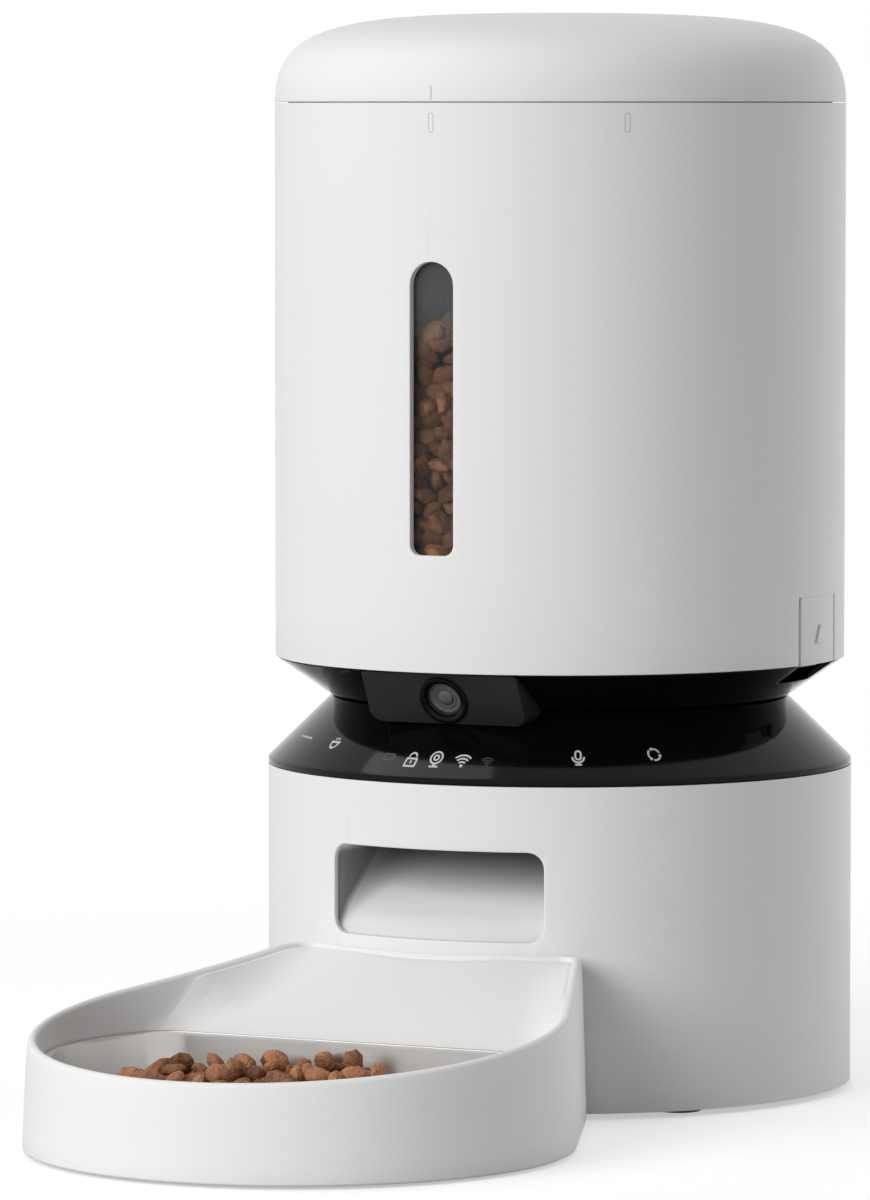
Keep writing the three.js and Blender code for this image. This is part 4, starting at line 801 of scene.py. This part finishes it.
outerDome = domeLine(lid["radius"], lid["height"], lid["steps"])
innerDome = domeLine(lid["radius"] - lid["wall"], lid["height"] - lid["wall"], lid["innerSteps"])
turnedPiece("lidCover", innerDome[::-1] + [(*outerDome[0], lid["soft"])] + outerDome[1:], 240, "whitePlastic", "lid",
            ["lid_cover"], closed=False)


def domeRadius(z):
    for (r0, z0), (r1, z1) in zip(outerDome, outerDome[1:]):
        if z0 <= z <= z1:
            return r0 + (r1 - r0) * (z - z0) / (z1 - z0)
    return outerDome[0][0]


lidMark = {"half": 0.3, "low": 337.1, "high": 341.7, "rise": 0.03, "thick": 0.05, "step": 0.5}
bm = bmesh.new()
half = math.radians(degreesOf(lidMark["half"], lid["radius"])) * lid["radius"]
sheet(bm, rounded(-half, half, lidMark["low"], lidMark["high"], 0))
thicken(bm, bm.faces[:], (0, lidMark["thick"], 0))
slice(bm, [lidMark["low"] + k * lidMark["step"] for k in range(1, 10)], (0, 0, 1))
bend(bm.verts, lid["radius"], lambda z: domeRadius(z) + lidMark["rise"])
finishPiece("lidMark", bm, "markGrey", "lid")

liner = {"edge": 94.4, "plateLow": 337.5, "plateHigh": 339.7, "radius": 92.9, "skirt": 2.4, "low": 324.5,
         "lugHigh": 327.9, "lugOuter": 94.6, "lugStart": 2.6, "lugWidth": 45.7, "lugs": 4, "lugCorner": 0.5}


def makeLiner():
    bm = bmesh.new()
    edge, plateLow, plateHigh, radius, low, outer = pick(liner, "edge plateLow plateHigh radius low lugOuter")
    inside, half = radius - liner["skirt"], liner["lugWidth"] / 2
    turn(bm, [(0, plateLow), (inside, plateLow, 0.8), (inside, low, 0.6), (radius, low, 0.6), (radius, plateLow),
              (edge, plateLow, 0.4), (edge - 0.8, plateHigh, 0.4), (0, plateHigh)], closed=False)
    for number in range(liner["lugs"]):
        curvedWall(bm, outer, outer - radius + 0.2, rounded(-half, half, low, liner["lugHigh"], liner["lugCorner"]),
                   soft=0.4, azimuth=90 * number + liner["lugStart"] + half)
    finishPiece("lidLiner", bm, "innerPlastic", "lid", ["lid_liner"])


makeLiner()

sealProfile = [(93.2, 329.8, 0.3), (93.9, 329.8, 0.3), (94.8, 330.7, 0.4), (94.2, 331.8, 0.3), (94.8, 332.9, 0.4),
               (93.9, 333.8, 0.3), (93.2, 333.8, 0.3)]
turnedPiece("lidSeal", sealProfile, 180, "silicone", "seal", ["lid_seal"])

desiccantProfile = [(28, 323.2), (30, 323.2, 0.4), (30, 337.2), (28, 337.2)]
turnedPiece("desiccantBox", desiccantProfile, 96, "innerPlastic", "lid", ["desiccant_box"])
print("lid ready")

# ---- tray and bowl ----

tray = {"radius": 89.2, "centreY": -190.4, "flare": math.radians(23), "back": 100.3, "low": 1, "draft": 0.0419,
        "draftReach": 38, "rimBack": 54.8, "rimTurn": -100, "rimDip": (-140, 45), "rimFront": 32.2, "frontY": -279.6,
        "rim": 1.6, "rimInset": 1.75, "footInset": 6.1, "backShare": 0.69, "ledge": 29.5, "slopeFoot": -150.6,
        "rampTop": 53.4, "rampEase": 0.06, "sweep": (-4, 18), "cove": 0.9, "blend": 14, "corner": 10,
        "leastCorner": 1.2, "shell": 3.2, "ceiling": 24.5, "pocketLow": 3.4, "pocketGap": 0.5, "pocketSoft": 0.5,
        "tubGap": 2.5, "tubWall": 2.4, "floorSpare": 0.2, "coveStep": 0.3, "coveRise": 0.35,
        "edge": ((0.9, 0), (0.25, 0.3), (0.04, 1))}
bowl = {"radius": 80.9, "chord": 38, "corner": 13, "wall": 0.9, "sheet": 0.6, "rim": 30.7, "foot": 3.7, "lip": 1.15,
        "draft": math.tan(math.radians(9)), "edge": 11, "edgeSteps": 8, "floorInsets": (18.5, 24)}
# Every loop of the tray and bowl has these counts of points, so that they join point to point
counts = {"front": 128, "side": 32, "back": 48, "corner": 12}
bowlMiddle = tray["centreY"] + (bowl["chord"] - bowl["radius"]) / 2
bowlReach = (bowl["radius"] + bowl["chord"]) / 2


def arcPoints(centre, radius, start, end, count):
    turns = [start + (end - start) * k / count for k in range(count)]
    return [Vector((centre[0] + radius * math.cos(t), centre[1] + radius * math.sin(t))) for t in turns]


def linePoints(start, end, count):
    return [Vector(start).lerp(Vector(end), k / count) for k in range(count)]


# The tray's plan, drawn in by an inset: the round front, two straight sides and the hollow back round the housing
def trayPlan(inset):
    radius, flare, centreY = tray["radius"] - inset, tray["flare"], tray["centreY"]
    back = tray["back"] + max(0, inset - tray["rimInset"]) * tray["backShare"]
    corner, straight = max(tray["leastCorner"], tray["corner"] - inset), counts["side"] - counts["corner"]
    tx, ty = radius * math.cos(flare), centreY + radius * math.sin(flare)
    # The round corner touches the straight side and the hollow back
    outward, along = Vector((math.cos(flare), math.sin(flare))), Vector((math.sin(flare), -math.cos(flare)))
    lean = tx * math.cos(flare) + ty * math.sin(flare) - corner
    middle = outward * lean + along * math.sqrt((back + corner) ** 2 - lean ** 2)
    start, end = middle + outward * corner, middle * (back / (back + corner))
    right = arcPoints(middle, corner, flare, math.atan2(-middle.y, -middle.x), counts["corner"])
    left = [Vector((-p.x, p.y)) for p in reversed(right + [end])][:-1]
    hollow = arcPoints((0, 0), back, math.atan2(end.y, end.x), math.atan2(end.y, -end.x), counts["back"])
    return (arcPoints((0, centreY), radius, -math.pi - flare, flare, counts["front"])
            + linePoints((tx, ty), start, straight) + right + hollow + left
            + linePoints((-start.x, start.y), (-tx, ty), straight))


# The bowl's plan: a round cut by a straight edge, with soft corners
def bowlPlan(inset):
    radius, corner, chord = pick(bowl, "radius corner chord")
    cy, dy, side = tray["centreY"], chord - corner, counts["side"]
    dx = math.sqrt((radius - corner) ** 2 - dy ** 2)
    lean = math.atan2(dy, dx)
    points = (arcPoints((0, cy), radius, -math.pi - lean, lean, counts["front"])
              + arcPoints((dx, cy + dy), corner, lean, math.pi / 2, side)
              + linePoints((dx, cy + chord), (-dx, cy + chord), counts["back"])
              + arcPoints((-dx, cy + dy), corner, math.pi / 2, math.pi - lean, side))
    share = 1 - inset / bowlReach
    return [Vector((p.x * share, bowlMiddle + (p.y - bowlMiddle) * share)) for p in points]


# Every point of a loop has its own height, or all have one
def addLoop(bm, points, heights):
    heights = heights if isinstance(heights, list) else [heights] * len(points)
    verts = [bm.verts.new((p.x, p.y, z)) for p, z in zip(points, heights)]
    return [bm.edges.new(pair) for pair in zip(verts, verts[1:] + verts[:1])]


# Joins the loops one after the other and closes the chosen ends
def loft(bm, loops, closeStart, closeEnd):
    rows = [addLoop(bm, points, heights) for points, heights in loops]
    for near, far in zip(rows, rows[1:]):
        bmesh.ops.bridge_loops(bm, edges=near + far)
    for row, close in ((rows[0], closeStart), (rows[-1], closeEnd)):
        if close:
            bmesh.ops.triangle_fill(bm, use_beauty=True, edges=row, normal=(0, 0, 1))


# The rim's height over each point of a loop: level at the back, falling in a curve to the front
def rimLine(points):
    back, front, (dipY, dipZ) = tray["rimTurn"], tray["frontY"], tray["rimDip"]
    a, b = back - 2 * dipY + front, 2 * (dipY - back)
    heights = []
    for p in points:
        t = min(1, max(0, (-b - math.sqrt(max(0, b * b - 4 * a * (back - p.y)))) / (2 * a)))
        heights.append(tray["rimBack"] * (1 - t) ** 2 + 2 * dipZ * t * (1 - t) + tray["rimFront"] * t ** 2)
    return heights


# How far a point lies inside the foot of the tray's front and side walls
def insideWall(x, y):
    radius, flare = tray["radius"] - tray["footInset"], tray["flare"]
    dx, dy = abs(x), y - tray["centreY"]
    if math.atan2(dy, dx) < flare:
        return radius - math.hypot(dx, dy)
    return radius - (dx * math.cos(flare) + dy * math.sin(flare))


def shareOf(a, b, x):
    return min(1, max(0, (x - a) / (b - a)))


# The ramp runs from the bowl's straight edge up to the round of the housing
def rampHeight(x, y):
    back = tray["back"] + (tray["footInset"] - tray["rimInset"]) * tray["backShare"]
    t, ease = shareOf(tray["slopeFoot"], -math.sqrt(max(1, back ** 2 - x * x)), y), tray["rampEase"]
    return tray["ledge"] + (tray["rampTop"] - tray["ledge"]) * t * t / (t + ease) * (1 + ease)


# The floor's height over each point of a loop, swept up into the side walls beside the ramp
def floorLine(points):
    heights = []
    for p, rim in zip(points, rimLine(points)):
        base, top = rampHeight(p.x, p.y), rim - tray["rim"]
        t = shareOf(*(tray["slopeFoot"] + end for end in tray["sweep"]), p.y)
        swept = t * t * (3 - 2 * t)
        depth = max(0, insideWall(p.x, p.y)) / (tray["cove"] + tray["blend"] * swept)
        heights.append(min(base + swept * max(0, top - base) * max(0, 1 - depth) ** 2, top + tray["floorSpare"]))
    return heights


# The loops of a tub: its foot at the given height, a round edge and sides that lean out
def tubLevels(grow, foot):
    levels, edge = [], bowl["edge"]
    for k in range(bowl["edgeSteps"], -1, -1):
        turned = k / bowl["edgeSteps"] * math.pi / 2
        z = foot + edge * (1 - math.cos(turned))
        levels.append((bowlPlan(grow + edge * (1 - math.sin(turned)) + (bowl["rim"] - z) * bowl["draft"]), z))
    return levels


def makeTray():
    bm = bmesh.new()
    draft, low, rim, under, foot, ceiling, pocketLow = pick(tray, "draft low rim shell footInset ceiling pocketLow")
    # The tub's underside, the skirt's inside and the bottom edge
    gap, tubGap = tray["pocketGap"], tray["tubGap"]
    loops = [(points, z - tray["tubWall"]) for points, z in reversed(tubLevels(-tubGap, pocketLow))]
    loops += [(bowlPlan(-tubGap), ceiling), (trayPlan(under + draft * (ceiling - low)), ceiling)]
    loops += [(trayPlan(inset), low + rise) for inset, rise in ((under, 0), *tray["edge"])]
    # The outside, the rolled rim and the inside down to the foot of the wall
    for k in range(1, 6):
        points = trayPlan(draft * k / 6 * tray["draftReach"])
        loops.append((points, [low + 1 + (top - rim - low - 1) * k / 6 for top in rimLine(points)]))
    for k in range(9):
        turned = math.pi * k / 8
        points = trayPlan(tray["rimInset"] + rim - rim * math.cos(turned))
        loops.append((points, [top - rim + rim * math.sin(turned) for top in rimLine(points)]))
    points = trayPlan(foot - tray["coveStep"])
    lines = zip(floorLine(points), rimLine(points))
    loops.append((points, [z + tray["coveRise"] * max(0, top - rim - z) for z, top in lines]))
    # The floor and ramp, from the wall's foot to the bowl's pocket
    inner, pocket = trayPlan(foot), bowlPlan(0.05 - gap)
    for share in (0, 0.02, 0.045, 0.075, 0.11, 0.15, 0.2, 0.26, 0.33, 0.41, 0.5, 0.6, 0.7, 0.8, 0.88, 0.94, 0.975, 1):
        points = [a.lerp(b, share) for a, b in zip(inner, pocket)]
        loops.append((points, floorLine(points)))
    lip = (bowlPlan(0.15 - gap), tray["ledge"] - tray["pocketSoft"])
    loft(bm, loops + [lip] + tubLevels(-gap, pocketLow), True, True)
    # The two hooks that hold the tray to the housing
    half, front, back, hookLow, hookHigh, soft = pick(hooks, "hookHalf front back hookLow hookHigh soft")
    for x in (-hooks["x"], hooks["x"]):
        roundedBox(bm, (x - half, front, hookLow), (x + half, back, hookHigh), soft)
    finishPiece("bowlTray", bm, "whitePlastic", "tray", ["bowl_tray"], smoothAngle=62)


makeTray()


def makeBowl():
    bm = bmesh.new()
    lip, wall, top, foot = pick(bowl, "lip wall rim foot")
    rolled = [(-lip, top - 0.75), (-lip + 0.08, top - 0.3), (-lip + 0.3, top - 0.06), (-lip + 0.6, top),
              (wall - 0.6, top), (wall - 0.15, top - 0.12), (wall + 0.1, top - 0.5), (wall + 0.3, top - 1.4)]
    floors = [(bowlPlan(inset), foot + wall) for inset in bowl["floorInsets"]]
    loft(bm, [(bowlPlan(inset), z) for inset, z in rolled] + tubLevels(wall, foot + wall) + floors, False, True)
    bmesh.ops.recalc_face_normals(bm, faces=bm.faces)
    if min(bm.faces, key=lambda f: f.calc_center_median().z).normal.z < 0:
        bmesh.ops.reverse_faces(bm, faces=bm.faces)
    piece = finishPiece("steelBowl", bm, "steel", "bowl", ["steel_bowl"], smoothAngle=60, flip=False)
    giveWall(piece, bowl["sheet"], False)


makeBowl()

padProfile = [(0, 0), (5.6, 0, 0.3), (6, 0.4, 0.2), (6, 0.95), (0, 0.95)]
for name, node, x in (("trayPadRight", "tray_pad_right", 40), ("trayPadLeft", "tray_pad_left", -40)):
    turnedPiece(name, padProfile, 40, "footRubber", "tray", [node], closed=False,
                place=Matrix.Translation((x, -238, 0)))
print("tray and bowl ready")

# ---- dry food ----

random.seed(7)
food = {"size": (3.4, 4.7), "count": 270, "centre": (-10, -199), "spread": (45, 40), "floor": 5.0, "tries": 10,
        "close": 0.92, "sink": 0.82}
# The lumps behind the window have their tone raised by 0.12, a painted light for lumps lit through the pane
store = {"level": 262, "low": 187, "rings": (89.4, 81.9), "rowStep": 4.9, "columnStep": 4.6, "columns": 5,
         "topRing": 7.6, "topRadius": 88, "larger": 1.12, "paintedLight": 0.12}
lump = {"columns": 8, "rows": 5, "long": (0.95, 1.3), "wide": (0.8, 1.05), "flat": (0.46, 0.74), "tone": (-0.1, 0.4),
        "wave": (0.08, 0.18), "dent": (0.92, 1.04)}


# One baked lump: a small ball, flattened and dented
def addLump(bm, tones, centre, size, paintedLight=0.0):
    made = bmesh.ops.create_uvsphere(bm, u_segments=lump["columns"], v_segments=lump["rows"], radius=1)["verts"]
    angle, axis = random.uniform(0, 6.28), Vector((random.random() + 0.1, random.random(), random.random()))
    form = Matrix.Diagonal([size * random.uniform(*lump[way]) for way in ("long", "wide", "flat")] + [1])
    # A lump behind the window adds painted light to its tone
    tone = random.uniform(*lump["tone"]) + paintedLight
    phase, wave = random.uniform(0, 6.28), random.uniform(*lump["wave"])
    for v in made:
        dent = wave * math.sin(2.6 * v.co.x + 1.9 * v.co.y - 2.2 * v.co.z + phase)
        v.co *= random.uniform(*lump["dent"]) + dent
        v[tones] = tone
    spin = Matrix.Rotation(angle, 4, axis.normalized())
    bmesh.ops.transform(bm, matrix=Matrix.Translation(centre) @ spin @ form, verts=made)


def startFood():
    bm = bmesh.new()
    return bm, bm.verts.layers.float.new("tone")


def inBowl():
    while True:
        u, v = random.uniform(-1, 1), random.uniform(-1, 1)
        if u * u + v * v < 1:
            return food["centre"][0] + u * food["spread"][0], food["centre"][1] + v * food["spread"][1]


# The heap in the bowl: each lump drops onto the ones already there
def makeHeap():
    bm, tones = startFood()
    placed = []
    for _ in range(food["count"]):
        radius = random.uniform(*food["size"])
        spots = []
        for _ in range(food["tries"]):
            x, y = inBowl()
            z = food["floor"] + radius * 0.8
            for px, py, pz, pr in placed:
                away, reach = math.hypot(px - x, py - y), (pr + radius) * food["close"]
                if away < reach:
                    z = max(z, pz + food["sink"] * math.sqrt(reach ** 2 - away ** 2))
            spots.append((x, y, z))
        lowest = min(spots, key=lambda spot: spot[2])
        placed.append((*lowest, radius))
        addLump(bm, tones, lowest, radius)
    finishPiece("bowlFood", bm, "kibble", "bowl", smoothAngle=75, flip=False)


makeHeap()


# The tank's food: the lumps behind the window, then the rings of its top
def makeStore():
    bm, tones = startFood()
    level, columns, topRing = pick(store, "level columns topRing")
    row, z = 0, store["low"]
    while z < level + 1:
        for layer, radius in enumerate(store["rings"]):
            for column in range(-columns, columns + 1):
                step = (column + 0.5 * ((row + layer) % 2)) * store["columnStep"]
                azimuth = math.radians(step + random.uniform(-1, 1))
                reach = radius - random.uniform(0, 2.2)
                size = random.uniform(*food["size"]) * store["larger"]
                addLump(bm, tones, onRing(reach, azimuth, z + random.uniform(-1.2, 1.2)), size, store["paintedLight"])
        row += 1
        z += store["rowStep"]
    radius = topRing / 2
    while radius < store["topRadius"]:
        count = int(2 * math.pi * radius / topRing)
        for k in range(count):
            azimuth = 2 * math.pi * k / count + random.uniform(-0.04, 0.04)
            spot = onRing(radius, azimuth, level + 1 + random.uniform(-2.4, 2.4))
            addLump(bm, tones, spot, random.uniform(*food["size"]))
        radius += topRing * 0.9
    finishPiece("storedFood", bm, "kibble", "tank", smoothAngle=75, flip=False)


makeStore()

# What lies behind the lumps that show: the same food as one body, its dark tone painted shade
bed = {"radius": 74, "low": 184, "ringLow": 200, "ringRadius": 90.5, "high": 257, "tone": 0.05, "notchFront": -60,
       "notchHalf": 24}
bm, tones = startFood()
radius, low, outer, ringLow, high = pick(bed, "radius low ringRadius ringLow high")
turn(bm, [(0, low), (radius, low), (radius, high - 1), (0, high + 1)], 64, closed=False)
turn(bm, [(radius, ringLow), (outer, ringLow), (outer, high), (radius, high)], 64)
for v in bm.verts:
    # The bed's low tone is painted shade for the food deeper in the tank
    v[tones] = bed["tone"]
notch = []
for face in bm.faces:
    middle = face.calc_center_median()
    if middle.y < bed["notchFront"] and abs(middle.x) < bed["notchHalf"] and middle.xy.length > radius + 0.5:
        notch.append(face)
bmesh.ops.delete(bm, geom=notch, context="FACES")
bmesh.ops.holes_fill(bm, edges=openEdges(bm), sides=0)
finishPiece("foodBed", bm, "kibble", "tank", smoothAngle=60)
print("food ready")

# ---- frame nodes that stay ----

finishes = {
    "innerPlastic": "base_floor battery_cover tank_floor outlet_plate rotor_shield desiccant_cover gear_frame_lower "
                    "gear_frame_upper",
    "satinBlack": "battery_box speaker power_socket",
    "circuitGreen": "main_board indicator_board camera_board",
    "brightMetal": "base_screw_1 base_screw_2 base_screw_3 base_screw_4 battery_contact_front battery_contact_rear "
                   "gear_motor double_gear_axle shaft_bush",
    "gearPlastic": "motor_pinion double_gear drive_gear",
    "silicone": "feed_rotor",
}
for finish, names in finishes.items():
    for name in names.split():
        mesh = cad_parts[name].data
        mesh.materials.clear()
        mesh.materials.append(materials[finish])

# ---- floor and light ----

studio = {"size": 0.75, "segments": 96, "grey": 0.6, "gloss": 0.7, "glow": 0.49, "fade": (0.36, 0.72)}


def makeFloor():
    bm = bmesh.new()
    bmesh.ops.create_circle(bm, cap_ends=True, segments=studio["segments"], radius=studio["size"])
    mesh = bpy.data.meshes.new("studioFloor")
    bm.to_mesh(mesh)
    bm.free()
    floor = bpy.data.objects.new("studioFloor", mesh)
    scene.collection.objects.link(floor)
    # It glows for the camera only, and fades out towards its edge
    material, tree = startMaterial("studioFloor")
    seen = addNode(tree, "LightPath").outputs["Is Camera Ray"]
    away = addNode(tree, "VectorMath", {0: objectPlace(tree)}, operation="LENGTH").outputs["Value"]
    dress(tree, {"Base Color": (studio["grey"],) * 3 + (1,), "Roughness": studio["gloss"],
                 "Emission Color": (1, 1, 1, 1), "Emission Strength": compute(tree, "MULTIPLY", seen, studio["glow"]),
                 "Alpha": ramp(tree, away, *studio["fade"], 1.0, 0.0, interpolation_type="SMOOTHSTEP")})
    mesh.materials.append(material)


makeFloor()


def softbox(name, place, aim, size, power, mirrored=True):
    data = bpy.data.lights.new(name, "AREA")
    data.shape, data.size, data.size_y, data.energy = "RECTANGLE", size[0], size[1], power
    lamp = bpy.data.objects.new(name, data)
    lamp.location = place
    lamp.rotation_euler = (Vector(aim) - Vector(place)).to_track_quat("-Z", "Y").to_euler()
    lamp.visible_glossy = mirrored
    scene.collection.objects.link(lamp)


softbox("keyFront", (-0.72, -2.24, 1.05), (0, 0, 0.18), (1.8, 1.6), 52, mirrored=False)
softbox("topLeft", (-0.85, -0.1, 1.75), (0, 0, 0.2), (0.8, 1.0), 5)
softbox("rimRight", (1.1, 1.7, 0.6), (0, 0.1, 0.2), (1.3, 1.5), 20, mirrored=False)

# The surroundings are white where they are seen or mirrored, and dimmer as light
sky = {"ambient": 0.26, "seen": 1.0}
world = bpy.data.worlds.new("studioWorld")
scene.world = world
world.use_nodes = True
tree = world.node_tree
rays = addNode(tree, "LightPath").outputs
seen = compute(tree, "ADD", rays["Is Camera Ray"], rays["Is Transmission Ray"])
seen = compute(tree, "ADD", seen, rays["Is Glossy Ray"], clamp=True)
strength = ramp(tree, seen, 0, 1, sky["ambient"], sky["seen"])
feed(tree, tree.nodes["Background"], {"Color": (1, 1, 1, 1), "Strength": strength})
print("floor and light ready")
